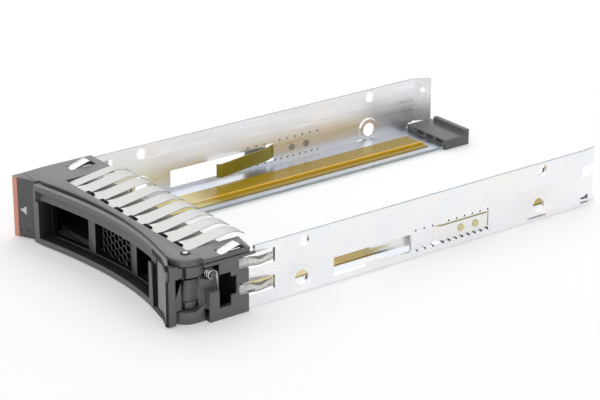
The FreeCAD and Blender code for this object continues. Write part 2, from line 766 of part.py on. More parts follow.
def bezel_body():
    """Housing: floor, corner block, curved front wall, gasket deck, skins and hinge barrel."""
    edge = (f"(0 - {SKIN_OUT})", SKIN_OUT)
    full = ("0", "body_height")
    hollow = common("hollow", arc_disc("hollow_disc", "wall_gap", ("0", "body_height")),
                    box("hollow_span", ("(0 - block_right)", f"({SKIN_OUT} + {OVER})"),
                        (back(f"0 - {OVER}"), back("arc_depth * 2")), full))
    floor = box("floor_plate", edge, (SEAM_Y, back("floor_depth")), ("0", "floor"))
    floor = cut("floor_trimmed", floor, [hollow, corner_waste("floor_corner", "side_open_depth", ("0", "floor"))])
    block = box("corner_block", (edge[0], "(0 - block_right)"), (SEAM_Y, back("block_depth")), full)
    wall_span = ("(0 - block_right)", "(pin_x - corner_radius - lever_side_wall)")
    front = arc_slab("front_wall", wall_span, full, "wall_gap", "wall_gap + front_wall")
    deck_x = ("(deck_shift - deck_width / 2)", "(deck_shift + deck_width / 2)")
    deck_y = (back("deck_depth"), back("deck_depth + deck_length"))
    deck = box("deck", deck_x, deck_y, (f"({DECK_TOP} - deck_sheet)", DECK_TOP))
    ledge_z = ("(body_height - deck_rise)", DECK_TOP)
    ledge = arc_slab("deck_ledge", (deck_x[0], wall_span[1]), ledge_z, "wall_gap", "wall_gap + front_wall")
    ledge = common("deck_ledge_behind", ledge, box("deck_ledge_span", deck_x, deck_y, ledge_z))
    left_skin = box("left_skin", (edge[0], f"(0 - {SKIN_IN})"), (back("nose_length - floor"),
                                                               back("bezel_length")), full)
    right_skin = box("right_skin", (SKIN_IN, edge[1]), (back("side_open_depth"), back("bezel_length")), full)
    barrel = disc("barrel", "z", (BARREL_X, back("barrel_depth"), "0"), "barrel_radius", "barrel_height")
    web = box("barrel_web", ("(pin_x - corner_radius - lever_side_wall * 2)", f"({BARREL_X} - front_wall)"),
              (back("pin_depth + web_inset"), back("barrel_depth")), ("0", "barrel_height"))
    plinth = disc("plinth", "z", ("pin_x", PIN_Y, "0"), "corner_radius", "plinth_height")
    heel = box("plinth_heel", ("(pin_x - corner_radius)", "(pin_x + corner_radius)"),
               (PIN_Y, back("side_open_depth")), ("0", "plinth_height"))
    post = box("post", ("(pin_x + lever_wall)", edge[1]), (back("side_open_depth"), back("post_depth")),
               ("0", "post_height"))
    solid = fuse("body_solid", [floor, block, front, deck, ledge, left_skin, right_skin, barrel, web, plinth,
                                heel, post])
    solid = common("body_plan", solid, outline("body_outline", "0", ("0", DECK_TOP)))
    tools = []
    sill = ("window_low", "window_high")
    pane_y = (back("0"), back("arc_depth * 2"))
    first = "(0 - rib_left)"
    for index, span in enumerate((
        ("(post_width - lever_left)", first),
        (f"({first} + rib_width)", "second_rib"),
        ("(second_rib + rib_width)", "(post_width - lever_left + window_width)"),
    )):
        tools.append(box(f"pane_{index}", span, pane_y, sill))
    reach = (f"({SKIN_IN} - {OVER})", f"({SKIN_OUT} + {OVER})")
    tools.append(box("side_gap", ("(pin_x + lever_wall)", reach[1]), (back(f"side_open_depth - {OVER}"),
                                                                     back("post_depth")),
                     ("post_height", "side_open_high")))
    tools.append(box("side_window", reach, (back("post_depth"), back("step_depth")), ("side_low", "side_high")))
    tools.append(box("side_step", reach, (back("step_depth"), back("step_end_depth")), ("step_low", "step_high")))
    for side, x in (("left", (f"(0 - {reach[1]})", f"(0 - {SKIN_IN} + skin_gap)")),
                    ("right", (f"({SKIN_IN} - skin_gap)", reach[1]))):
        end = back(f"bezel_length + {OVER}")
        for level in ("side_finger_high", "side_finger_low"):
            tools.append(box(f"{side}_notch", x, (back("tab_notch_depth"), end),
                             (f"({level} - corner_gap)", f"({level} + side_finger_width + corner_gap)")))
        tools.append(box(f"{side}_step", x, (back("bezel_length - tab_step"), end), ("0", "side_finger_high")))
    for side, x in (("left", (f"(0 - {SKIN_IN})", f"(shelf_width + fit_gap - {WALL_IN})")),
                    ("right", (f"({WALL_IN} - shelf_width - fit_gap)", SKIN_IN))):
        tools.append(box(f"{side}_shelf_seat", x, (back("shelf_front_depth - fit_gap"), back("bezel_length")),
                         ("rail_lift", "(floor + seat_room)")))
    notch = "low_ear_radius + corner_gap"
    tools.append(disc("low_notch", "z", ("pin_x", PIN_Y, "plinth_height"), notch,
                      "low_ear_height + corner_gap * 2"))
    tools.append(disc("high_notch", "z", ("pin_x", PIN_Y, "(barrel_height - barrel_notch)"), notch,
                      "barrel_notch * 2"))
    tools.append(disc("pin_seat", "z", ("pin_x", PIN_Y, "(floor - pin_sink)"), "pin_radius + pin_gap",
                      "barrel_height"))
    half = "(neck_side / 2 + fit_gap)"
    tools.append(box("neck_pocket", (f"(0 - {reach[1]})", "(0 - neck_wall_left)"),
                     (back("0"), f"({ARM_Y} + {half})"), (f"(arm_height - {half})", f"(arm_height + {half})")))
    half = "(arm_side / 2 + fit_gap)"
    tools.append(box("arm_hole", (f"(0 - {reach[1]})", f"({OVER} - block_right)"),
                     (f"({ARM_Y} - {half})", f"({ARM_Y} + {half})"),
                     (f"(arm_height - {half})", f"(arm_height + {half})")))
    tools.append(disc("spring_room", "x", ("(neck_wall - neck_wall_left)", ARM_Y, "arm_height"),
                      "cavity_radius", "neck_wall_left - neck_wall - cavity_right"))
    tools.append(disc("kick_room", "x", ("(kick_left - kick_lug_gap)", back("kick_depth"), "kick_height"),
                      "kick_coil_radius + kick_gap", "kick_pitch * kick_turns + lever_wall"))
    body = cut("body_cut", solid, tools)
    lug_y = (back("kick_depth - kick_lug_reach"), back("kick_depth + kick_lug_reach"))
    lug = box("kick_lug", ("(kick_left - kick_lug_gap - kick_lug_sheet)", "(kick_left - kick_lug_gap)"), lug_y,
              ("(barrel_height - barrel_notch)", "(kick_height + kick_lug_reach)"))
    boss = disc("kick_boss", "x", ("(kick_left - kick_lug_gap - kick_boss_root)", back("kick_depth"), "kick_height"),
                "kick_boss_radius", "kick_pitch * kick_turns + kick_lug_gap + kick_boss_root")
    return fuse("bezel_body", [body, lug, boss])


def bezel_cap():
    """Top cover: two arms and a thin front strip, with a pin hole and two finger slots."""
    z = (CAP_LOW, CAP_TOP)
    plan = outline("cap_outline", "cap_inset", z)
    plate = box("cap_plate", (f"(0 - {SKIN_OUT})", SKIN_OUT), (SEAM_Y, back("bezel_length")), z)
    plate = common("cap_plan", plate, plan)
    deck_y = back("deck_depth - fit_gap")
    corner = disc("cap_corner", "z", ("pin_x", PIN_Y, "corner_low"), "corner_radius", f"{CAP_TOP} - corner_low")
    corner = common("cap_corner_ahead", corner, box("cap_corner_span", ("0", SKIN_OUT), (back("0"), deck_y),
                                                    ("corner_low", CAP_TOP)))
    front = common("cap_front", arc_disc("cap_arc", "cap_gap", z),
                   box("cap_front_span", ("(0 - block_right)", "pin_x"), (back(f"0 - {OVER}"), back("arc_depth * 2")),
                       z))
    plate = cut("cap_shaped", plate, [front, corner_waste("cap_waste", "nose_length", z)])
    bay = box("cap_bay", ("(deck_shift - deck_width / 2 - fit_gap)", "(deck_shift + deck_width / 2 + fit_gap)"),
              (deck_y, back(f"bezel_length + {OVER}")), ("corner_low", f"({CAP_TOP} + {OVER})"))
    hole = disc("cap_pin_hole", "z", ("pin_x", PIN_Y, "corner_low"), "pin_radius + pin_gap", "ear_high")
    tools = [bay, hole]
    for side, left in (("left", CORNER_LEFT), ("right", CORNER_RIGHT)):
        tools.append(box(f"cap_slot_{side}", (left, f"({left} + cap_slot_width)"),
                         (back("cap_slot_depth"), back("cap_slot_depth + cap_slot_length")),
                         (CAP_LOW, f"({CAP_TOP} + {OVER})")))
    return cut("bezel_cap", fuse("cap_solid", [plate, corner]), tools)


def lever_handle():
    """Curved lever with its air window, label recess, side wall and two hinge ears."""
    left = "(0 - lever_left)"
    span = (left, "lever_right")
    bar = arc_slab("lever_bar", span, ("lever_low", "lever_high"), "0", "lever_wall")
    lip = arc_slab("lever_lip", span, ("lever_high", "lip_high"), "0", "lip_wall")
    cheek = box("lever_cheek", ("(lever_right - lever_side_wall)", "lever_right"),
                (back("lever_side_depth - lever_wall"), back("lever_side_depth")), ("lever_low", "ear_high"))
    low_z = "(plinth_height + corner_gap)"
    low_ear = disc("low_ear", "z", ("pin_x", PIN_Y, low_z), "low_ear_radius", "low_ear_height")
    low_web = box("low_ear_web", ("(pin_x - ear_web / 2)", "(pin_x + ear_web / 2)"),
                  (f"({PIN_Y} - ear_web)", PIN_Y), (low_z, f"({low_z} + low_ear_height)"))
    high_ear = disc("high_ear", "z", ("pin_x", PIN_Y, "ear_low"), "ear_radius", "ear_high - ear_low")
    plain = fuse("lever_bar_parts", [bar, lip, cheek])
    tools = []
    clear = "corner_radius + corner_gap"
    tools.append(disc("plinth_room", "z", ("pin_x", PIN_Y, f"(0 - {OVER})"), clear, f"{low_z} + {OVER}"))
    tools.append(disc("cap_room", "z", ("pin_x", PIN_Y, "ear_high"), clear, f"lip_high - ear_high + {OVER}"))
    waste = box("lever_waste", ("pin_x", f"(lever_right + {OVER})"), (back(f"0 - {OVER}"), PIN_Y),
                ("lever_low", "lip_high"))
    keep = disc("lever_keep", "z", ("pin_x", PIN_Y, "lever_low"), "corner_sweep", "lip_high - lever_low")
    tools.append(cut("lever_corner_waste", waste, [keep]))
    window_left = f"({left} + post_width)"
    tools.append(box("lever_window", (window_left, f"({window_left} + window_width)"),
                     (back(f"0 - {OVER}"), back("arc_depth * 2")), ("window_low", "window_high")))
    recess = box("recess_span", ("recess_left", "recess_right"), (back(f"0 - {OVER}"), back("arc_depth")),
                 ("recess_low", "recess_high"))
    tools.append(common("recess", arc_disc("recess_disc", "recess_sink", ("recess_low", "recess_high")), recess))
    shaped_bar = cut("lever_bar_cut", plain, tools)
    solid = fuse("lever_solid", [shaped_bar, low_ear, low_web, high_ear])
    bore = disc("lever_bore", "z", ("pin_x", PIN_Y, "0"), "pin_radius + pin_gap", CAP_TOP)
    panel_room = arc_disc("ear_trim", "recess_sink", ("ear_low", "ear_high"))
    return cut("lever_handle", solid, [bore, panel_room])


def label_panel():
    """Plain panel set into the lever's recess."""
    return arc_slab("label_panel", ("panel_left", "recess_right - fit_gap"),
                    ("panel_low", "(recess_high - fit_gap)"), "panel_edge", "panel_edge + panel_sheet")


def release_latch():
    """Sliding latch: corner strip, neck, stem with its collar and catch nose."""
    z = ("face_low", "face_high")
    strip_box = box("latch_strip", ("(0 - latch_outer)", "(0 - latch_inner)"), (back("0 - 1"), SEAM_Y), z)
    centre_x = "(corner_round - latch_outer)"
    centre_y = back("corner_round")
    waste = box("latch_waste", (f"(0 - latch_outer - {OVER})", centre_x), (back(f"0 - {OVER}"), centre_y), z)
    keep = disc("latch_keep", "z", (centre_x, centre_y, "face_low"), "corner_round", "face_high - face_low")
    face = cut("latch_face", strip_box, [arc_disc("latch_arc", "0", z), cut("latch_corner", waste, [keep])])
    half = "neck_side / 2"
    neck = box("latch_neck", ("(neck_side_gap - latch_outer)", "(0 - latch_inner)"),
               (f"({SEAM_Y} - latch_travel)", f"({ARM_Y} + {half})"),
               (f"(arm_height - {half})", f"(arm_height + {half})"))
    half = "arm_side / 2"
    stem = box("latch_stem", ("(0 - neck_right)", "(0 - block_right)"), (f"({ARM_Y} - {half})", f"({ARM_Y} + {half})"),
               (f"(arm_height - {half})", f"(arm_height + {half})"))
    collar = disc("latch_collar", "x", ("(0 - cavity_right - latch_gap - collar_sheet)", ARM_Y, "arm_height"),
                  "collar_radius", "collar_sheet")
    return fuse("release_latch", [face, neck, stem, collar])


def mark(name):
    """Triangle that points at the latch, through the indicator plate."""
    body = doc.addObject("PartDesign::Body", f"{name}_prism")
    face = sketch(body, f"{name}_outline", "XZ_Plane", "carrier_length / 2")
    polygon(face, [
        ("(0 - mark_tip)", "mark_low + mark_height / 2"),
        ("(mark_width - mark_tip)", "mark_low"),
        ("(mark_width - mark_tip)", "mark_low + mark_height"),
    ])
    prism = pad(body, f"{name}_pad", face, "seam_depth - mark_sink / 2")
    prism.Reversed = True
    return body


def small_marks(name):
    """Two tiny round marks at the foot of the indicator plate."""
    return fuse(name, [disc(f"{name}_{index}", "y", (f"(dot_mark_step * {index} - dot_mark_left)", back("0"),
                                                     "dot_mark_height"), "dot_mark_radius",
                            "seam_depth - mark_sink / 2") for index in range(2)])


def pivot_pin():
    """Steel hinge pin from the floor to the cap."""
    low = "(floor - pin_sink)"
    return disc("pivot_pin", "z", ("pin_x", PIN_Y, low), "pin_radius", f"{CAP_TOP} - pin_recess - {low}")


def taper(name, left, width, ends):
    """Upright prism that narrows from the finger's root to its tip."""
    item = doc.addObject("Part::Wedge", name)
    bind(item, {
        "Ymin": ends[0],
        "Ymax": ends[1],
        "Xmin": left,
        "Xmax": f"{left} + {width}",
        "X2min": f"{left} + finger_taper",
        "X2max": f"{left} + {width} - finger_taper",
        "Zmin": "body_height",
        "Zmax": f"finger_crest + {OVER}",
        "Z2min": "body_height",
        "Z2max": f"finger_crest + {OVER}",
    })
    return item


def finger_gasket_top():
    """Sprung strip on the deck: a base with one narrow and eight wide arched fingers."""
    base = box("gasket_base", ("(0 - narrow_finger_left)", "gasket_base_end"),
               (back("deck_depth"), back("deck_depth + deck_length")), (DECK_TOP, f"({DECK_TOP} + gasket_sheet)"))
    fingers = [base]
    spans = [("(0 - narrow_finger_left)", "narrow_finger_width")]
    spans += [(f"(finger_pitch * {index} - finger_left)", "finger_width") for index in range(SIZES["finger_count"])]
    root = (back("finger_root_depth"), f"({DECK_TOP} + gasket_sheet)")
    tip = (back("finger_tip_depth"), "finger_tip")
    for index, (left, width) in enumerate(spans):
        bow = arch(f"finger_{index}", (back("finger_crest_depth"), "finger_crest"), (root, tip),
                   (left, f"({left} + {width})"), "gasket_sheet")
        fingers.append(common(f"finger_{index}_tapered", bow, taper(f"taper_{index}", left, width,
                                                                    (root[0], tip[0]))))
    return fuse("finger_gasket_top", fingers)


def side_gasket(name, slot_left):
    """Sprung strip behind the right-hand skin: two side fingers and one corner finger."""
    outer = f"({WALL_OUT} + gasket_gap + gasket_sheet)"
    inner = f"({WALL_OUT} + gasket_gap)"
    top = ("body_height", CAP_LOW)
    end = back("side_plate_depth + side_plate_length")
    plate = box(f"{name}_plate", (inner, outer), (back("side_plate_depth"), end), ("side_plate_low", CAP_LOW))
    runner = box(f"{name}_runner", (f"({outer} - rail_sheet / 2)", outer), (back("cap_slot_depth - 1"), end), top)
    finger_left = f"({slot_left} + (cap_slot_width - corner_finger_width) / 2)"
    finger_span = (finger_left, f"({finger_left} + corner_finger_width)")
    tab = box(f"{name}_tab", (finger_left, outer), (back("cap_slot_depth - 1"), back("corner_root_depth + fit_gap")),
              top)
    corner = arch(f"{name}_corner", (back("corner_crest_depth"), "corner_crest"),
                  ((back("corner_root_depth"), CAP_LOW), (back("corner_tip_depth"), "corner_tip")),
                  finger_span, "gasket_sheet")
    parts = [plate, runner, tab, corner]
    start = back("side_plate_depth + side_plate_length - fit_gap")
    finish = back("side_finger_end")
    reach = f"(({finish} - {start}) / 2)"
    radius = f"(({reach} * {reach} + side_finger_bow * side_finger_bow) / (2 * side_finger_bow))"
    for level in ("side_finger_high", "side_finger_low"):
        centre = (f"({outer} + side_finger_bow - {radius})", f"(({start} + {finish}) / 2)", level)
        ring = cut(f"{name}_{level}_ring", disc(f"{name}_{level}_outer", "z", centre, radius, "side_finger_width"),
                   [disc(f"{name}_{level}_inner", "z", centre, f"({radius} - gasket_sheet)", "side_finger_width")])
        z = (level, f"({level} + side_finger_width)")
        span = box(f"{name}_{level}_span", (inner, f"({outer} + side_finger_bow + {OVER})"), (start, finish), z)
        hook = box(f"{name}_{level}_hook", (f"({WALL_OUT} - side_finger_hook)", outer),
                   (f"({finish} - gasket_sheet)", finish), z)
        parts += [common(f"{name}_{level}_bow", ring, span), hook]
    return fuse(name, parts)


def vent_screen():
    """Honeycomb screen behind the middle pane of the front wall."""
    left = "(rib_width - rib_left + fit_gap / 2)"
    right = "(second_rib - fit_gap / 2)"
    low = "(window_low + fit_gap / 2)"
    plate = box("screen_plate", (left, right), (back("screen_depth"), back("screen_depth + screen_sheet")),
                (low, "(window_high - fit_gap / 2)"))
    cells = []
    for column in range(SIZES["cell_columns"]):
        for row in range(SIZES["cell_rows"]):
            cell = doc.addObject("Part::Prism", "screen_cell")
            cell.Polygon = 6
            cell.Placement.Rotation = TURNS["y"]
            stagger = (column % 2) / 2
            bind(cell, {
                "Circumradius": "cell_radius",
                "Height": f"screen_sheet + {OVER}",
                "Placement.Base.x": f"({left} + {right}) / 2 + cell_pitch * ({column} - (cell_columns - 1) / 2)"
                                    " * cos(cell_turn)",
                "Placement.Base.y": back("screen_depth - 1"),
                "Placement.Base.z": f"(window_low + window_high) / 2 + cell_pitch * ({row + stagger}"
                                    " - (cell_rows - 1) / 2 - cell_drop)",
            })
            cells.append(cell)
    return cut("vent_screen", plate, cells)


def latch_spring():
    """Coil spring round the latch's stem, between the block's wall and the collar."""
    wire = value_of("latch_wire")
    left = value_of("neck_wall - neck_wall_left + fit_gap / 2") + wire / 2
    right = value_of("0 - cavity_right - latch_gap - collar_sheet - fit_gap / 2") - wire / 2
    start = FreeCAD.Vector(left, value_of(ARM_Y), value_of("arm_height"))
    turns = value_of("latch_turns")
    radius = value_of("latch_coil_radius")
    return shaped("latch_spring", coil(start, radius, wire, (right - left) / turns, turns))


def kick_spring():
    """Wound spring beside the hinge, with a leg that stands on the post."""
    base = ("kick_left", back("kick_depth"), "kick_height")
    start = FreeCAD.Vector(*(value_of(place) for place in base))
    shape = coil(start, value_of("kick_coil_radius"), value_of("kick_wire"), value_of("kick_pitch"),
                 value_of("kick_turns"), value_of("kick_height - post_height"))
    return shaped("kick_spring", shape)


CORNER_LEFT = f"(left_slot_inset - {SKIN_OUT})"
CORNER_RIGHT = f"({SKIN_OUT} - right_slot_inset - cap_slot_width)"


def build():
    """Makes every piece and gives it the name of its node."""
    rails = rail("rail")
    rail_end = f"({REAR} + {OVER})"
    notch_start = f"({TAIL_Y} - notch_length)"
    notch = box("tail_notch", (f"({WALL_IN} - tail_run)", f"({WALL_OUT} + {OVER})"), (notch_start, rail_end),
                ("notch_low", "(notch_low + notch_height)"))
    left_plain = mirrored("rail_mirrored", rails)
    tail_hole = disc("tail_hole", "x", (f"(0 - {WALL_OUT} - {OVER})", f"({TAIL_Y} + tail_run / 2)",
                                        "tail_hole_height"), "tail_hole_radius", "tail_run + rail_sheet")
    leaf = leaf_spring("leaf")
    rivets = leaf_rivets("rivets")
    shelf_film = film("film")
    guide = rear_guide("guide")
    latch = release_latch()
    plate_z = ("face_low", "face_high")
    plate_box = box("plate_box", ("(0 - plate_left)", "(0 - plate_right)"), (back("0"), SEAM_Y), plate_z)
    marks = common("mark_flush", mark("mark"), plate_box)
    marks = cut("mark_face", marks, [arc_disc("mark_arc", "0", plate_z)])
    dots = cut("dot_face", small_marks("small_marks"), [arc_disc("dot_arc", "0", plate_z)])
    plate = cut("plate_face", plate_box, [arc_disc("plate_arc", "0", plate_z)])
    plate = cut("indicator_plate", plate, [marks, dots])
    gasket = side_gasket("side_gasket", CORNER_RIGHT)
    left_gasket = side_gasket("other_gasket", f"({CORNER_LEFT} * (0 - 1) - cap_slot_width)")
    return {
        "bezel_body": bezel_body(),
        "bezel_cap": bezel_cap(),
        "indicator_plate": plate,
        "activity_light_pipe": marks,
        "status_light_pipes": dots,
        "release_latch": latch,
        "latch_spring": latch_spring(),
        "lever_handle": lever_handle(),
        "label_panel": label_panel(),
        "pivot_pin": pivot_pin(),
        "kick_spring": kick_spring(),
        "vent_screen": vent_screen(),
        "finger_gasket_top": finger_gasket_top(),
        "side_gasket_right": gasket,
        "side_gasket_left": mirrored("gasket_mirrored", left_gasket),
        "right_rail": cut("rail_right", rails, [notch]),
        "left_rail": cut("rail_left", left_plain, [tail_hole]),
        "right_leaf_spring": leaf,
        "left_leaf_spring": mirrored("leaf_mirrored", leaf),
        "right_leaf_rivets": rivets,
        "left_leaf_rivets": mirrored("rivets_mirrored", rivets),
        "right_film": shelf_film,
        "left_film": mirrored("film_mirrored", shelf_film),
        "rear_guide_right": guide,
        "rear_guide_left": mirrored("guide_mirrored", guide),
    }


pieces = build()
doc.recompute()
for name, piece in pieces.items():
    piece.Label = name
failed = [item.Name for item in doc.Objects if {"Invalid", "Error"} & set(item.State)]
if failed:
    raise RuntimeError(f"objects that did not build: {failed}")
for name, piece in pieces.items():
    if piece.Shape.isNull() or not piece.Shape.isValid() or not piece.Shape.Solids:
        raise RuntimeError(f"{name} has no valid solid")

os.makedirs("parts", exist_ok=True)
for name, piece in pieces.items():
    piece.Shape.exportStep(os.path.join("parts", f"{name}.step"))
    bounds = piece.Shape.BoundBox
    print(f"{name}: {len(piece.Shape.Solids)} solids, {piece.Shape.Volume:.1f} mm3,"
          f" X {bounds.XMin:.2f} {bounds.XMax:.2f} Y {bounds.YMin:.2f} {bounds.YMax:.2f}"
          f" Z {bounds.ZMin:.2f} {bounds.ZMax:.2f}")
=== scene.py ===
"""Looks of the hot swap drive caddy: moulded bezel, zinc-plated rails and sprung contact fingers.

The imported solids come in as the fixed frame. Moulded and folded pieces are merged copies of their
solids with softened edges; sprung and wound pieces are modelled afresh. Sizes are in millimetres.
"""

import logging
import math
from dataclasses import dataclass
from enum import Enum
from typing import Callable

import bmesh
import bpy
from bmesh.types import BMesh, BMFace, BMVert
from bpy.types import Material, Node, NodeSocket, NodeTree, Object
from mathutils import Matrix, Vector


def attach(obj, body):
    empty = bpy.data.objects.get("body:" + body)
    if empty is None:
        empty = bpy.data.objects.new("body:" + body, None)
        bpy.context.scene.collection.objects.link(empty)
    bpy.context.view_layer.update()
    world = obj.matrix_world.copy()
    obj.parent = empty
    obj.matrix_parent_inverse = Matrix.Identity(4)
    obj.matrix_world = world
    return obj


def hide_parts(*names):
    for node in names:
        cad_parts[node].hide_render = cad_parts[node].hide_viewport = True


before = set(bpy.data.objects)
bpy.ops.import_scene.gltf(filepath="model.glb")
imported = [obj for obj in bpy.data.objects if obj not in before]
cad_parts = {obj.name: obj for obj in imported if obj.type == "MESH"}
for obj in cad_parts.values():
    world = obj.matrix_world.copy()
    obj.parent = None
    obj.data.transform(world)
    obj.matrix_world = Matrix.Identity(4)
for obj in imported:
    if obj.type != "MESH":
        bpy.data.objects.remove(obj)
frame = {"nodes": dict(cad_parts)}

LOG = logging.getLogger("caddy")
MM = 0.001
# Vertices closer than this are one, and a vertex this close to a cutting plane is on it
WELD = 0.0005
ON_PLANE = 0.00001
# Angles in degrees from which an edge is crisp or gets rounded
CRISP = 30
ROUNDED = 35
# Angles in degrees below which an edge counts as flat, and up to which the faces beside it merge
FLAT = 0.3
MERGED = 0.5
# Cosines from which a face looks straight one way, or leans that way
FACING = 0.7
LEANING = 0.5
# Where the hinge pin stands, and the floor and roof of the front's openings
HINGE = (30.9, -60.4)
OPENING = (1.3, 14.2)

Pair = tuple[float, float]
Point = tuple[float, float, float]
Table = tuple[Pair, ...]
Curve = Callable[[float], Vector]
Shaper = Callable[[BMesh], None]
Chooser = Callable[[BMFace], int]


class Body(Enum):
    """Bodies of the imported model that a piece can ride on."""

    FRAME = "frame"
    LEVER = "lever"
    LATCH = "latch"


class Slot(Enum):
    """Material slots of the record."""

    DARK = "dark_plastic"
    BLACK = "black_plastic"
    GREY = "grey_plastic"
    LATCH = "latch_plastic"
    LENS = "lens_plastic"
    RAIL = "rail_steel"
    SPRING = "spring_steel"
    PIN = "pin_steel"
    FILM = "amber_film"
    LEAF = "amber_leaf"


class Side(Enum):
    """Side of the caddy, as the sign of X."""

    RIGHT = 1
    LEFT = -1


def linear(code: str) -> tuple[float, float, float, float]:
    """Turns an sRGB hex colour into linear red, green, blue and alpha.

    Args:
        code: Colour such as "#d9907a".

    Returns:
        The four channels that a shader socket takes.
    """
    channels = [int(code[start:start + 2], 16) / 255 for start in (1, 3, 5)]
    red, green, blue = (c / 12.92 if c <= 0.04045 else ((c + 0.055) / 1.055) ** 2.4 for c in channels)
    return red, green, blue, 1.0


def wire(node: Node, inputs: dict) -> Node:
    """Links or sets a node's inputs.

    Args:
        node: Node to feed.
        inputs: Socket name or number, with an output socket to link or a plain value to set.

    Returns:
        The same node.
    """
    for socket, value in inputs.items():
        if isinstance(value, NodeSocket):
            node.id_data.links.new(value, node.inputs[socket])
        else:
            node.inputs[socket].default_value = value
    return node


def add(tree: NodeTree, kind: str, inputs: dict | None = None, **settings) -> Node:
    """Adds a shader node with its settings and links.

    Args:
        tree: Node tree of the material or world.
        kind: Blender's name for the node type.
        inputs: Sockets to link or set.
        **settings: Properties of the node.

    Returns:
        The new node.
    """
    node = tree.nodes.new(kind)
    for name, value in settings.items():
        setattr(node, name, value)
    return wire(node, inputs or {})


def pattern(place: NodeSocket, size: float, detail: float) -> dict:
    """Returns the inputs of a noise whose features are the given size in millimetres."""
    return {"Vector": place, "Scale": 1.0 / (size * MM), "Detail": detail}


def spread(noise: Node, low: float, high: float) -> dict:
    """Returns the inputs that stretch a noise, which mostly stays within 0.3 to 0.7, over a range."""
    return {"Value": noise.outputs[0], "From Min": 0.3, "From Max": 0.7, "To Min": low, "To Max": high}


def any_ray(tree: NodeTree, *kinds: str) -> NodeSocket:
    """Tells the rays of some kinds from all others.

    Args:
        tree: Node tree of the world or a material.
        *kinds: Outputs of the light path node.

    Returns:
        What is 1 for a ray of one of the kinds, and 0 for another one.
    """
    rays = add(tree, "ShaderNodeLightPath").outputs
    found = rays[kinds[0]]
    for kind in kinds[1:]:
        found = add(tree, "ShaderNodeMath", {0: found, 1: rays[kind]}, operation="MAXIMUM").outputs[0]
    return found


def release(bm: BMesh, name: str) -> Object:
    """Turns a bmesh into an object of the scene.

    Args:
        bm: The mesh, in metres, which is freed.
        name: Name of the object.

    Returns:
        The new object.
    """
    mesh = bpy.data.meshes.new(name)
    bm.to_mesh(mesh)
    bm.free()
    made = bpy.data.objects.new(name, mesh)
    bpy.context.scene.collection.objects.link(made)
    return made


@dataclass(frozen=True)
class Finish:
    """A surface finish that is made once and shared by all pieces that wear it."""

    name: str

    def material(self) -> Material:
        """Makes the material on its first use.

        Returns:
            The finish's material.
        """
        ready = bpy.data.materials.get(self.name)
        if ready:
            return ready
        material = bpy.data.materials.new(self.name)
        material.use_nodes = True
        tree = material.node_tree
        place = add(tree, "ShaderNodeTexCoord").outputs["Object"]
        self.paint(tree, tree.nodes["Principled BSDF"], place)
        return material

    def paint(self, tree: NodeTree, surface: Node, place: NodeSocket) -> None:
        """Sets up the surface; each kind of finish gives its own.

        Args:
            tree: The material's node tree.
            surface: Its Principled shader.
            place: Object coordinates, in metres.
        """
        raise NotImplementedError


@dataclass(frozen=True)
class MouldedPlastic(Finish):
    """Injection-moulded ABS from a spark-eroded mould: matt, with a pebble grain and an uneven tone."""

    deep: str
    pale: str
    roughness: float = 0.5
    # The real grain is about 0.1 mm, too fine to show at this size
    grain: float = 0.34
    relief: float = 0.02
    cloud: float = 7.0
    specular: float = 0.5

    def paint(self, tree: NodeTree, surface: Node, place: NodeSocket) -> None:
        """Sets up a clouded matt colour over a fine pebbled relief.

        Args:
            tree: The material's node tree.
            surface: Its Principled shader.
            place: Object coordinates, in metres.
        """
        cloud = add(tree, "ShaderNodeTexNoise", pattern(place, self.cloud, 3.0))
        grain = add(tree, "ShaderNodeTexNoise", pattern(place, self.grain, 2.0))
        tone = add(tree, "ShaderNodeMix", {0: cloud.outputs[0], 6: linear(self.deep), 7: linear(self.pale)},
                   data_type="RGBA")
        matt = add(tree, "ShaderNodeMapRange", spread(grain, self.roughness - 0.07, self.roughness + 0.07))
        relief = add(tree, "ShaderNodeBump", {
            "Height": grain.outputs[0], "Strength": 0.5, "Distance": self.relief * MM})
        wire(surface, {"Base Color": tone.outputs[2], "Roughness": matt.outputs[0],
                       "Normal": relief.outputs[0], "IOR": 1.52, "Specular IOR Level": self.specular})


@dataclass(frozen=True)
class ZincPlate(Finish):
    """Zinc-plated steel sheet, clear passivated: soft mirror with faint yellow and blue clouds."""

    warm: str = "#f6f3f1"
    cool: str = "#f0f2f6"
    plain: str = "#f4f4f6"
    roughness: float = 0.3
    cloud: float = 9.0
    # Rolling lines run along the rail; the real ones are finer than a pixel
    line: float = 0.5
    stretch: float = 0.03

    def paint(self, tree: NodeTree, surface: Node, place: NodeSocket) -> None:
        """Sets up plated metal with passivation clouds and drawn-out rolling lines.

        Args:
            tree: The material's node tree.
            surface: Its Principled shader.
            place: Object coordinates, in metres.
        """
        cloud = wire(add(tree, "ShaderNodeTexNoise", pattern(place, self.cloud, 4.0)), {"Roughness": 0.6})
        ramp = add(tree, "ShaderNodeValToRGB", {0: cloud.outputs[0]})
        for index, (spot, shade) in enumerate(((0.36, self.cool), (0.5, self.plain), (0.66, self.warm))):
            stop = ramp.color_ramp.elements[index] if index < 2 else ramp.color_ramp.elements.new(spot)
            stop.position = spot
            stop.color = linear(shade)
        drawn = add(tree, "ShaderNodeMapping", {"Vector": place, "Scale": (1.0, self.stretch, 1.0)})
        lines = add(tree, "ShaderNodeTexNoise", pattern(drawn.outputs[0], self.line, 3.0))
        matt = add(tree, "ShaderNodeMapRange", spread(lines, self.roughness - 0.06, self.roughness + 0.1))
        relief = add(tree, "ShaderNodeBump", {
            "Height": lines.outputs[0], "Strength": 0.15, "Distance": 0.01 * MM})
        wire(surface, {"Base Color": ramp.outputs[0], "Roughness": matt.outputs[0],
                       "Normal": relief.outputs[0], "Metallic": 1.0})


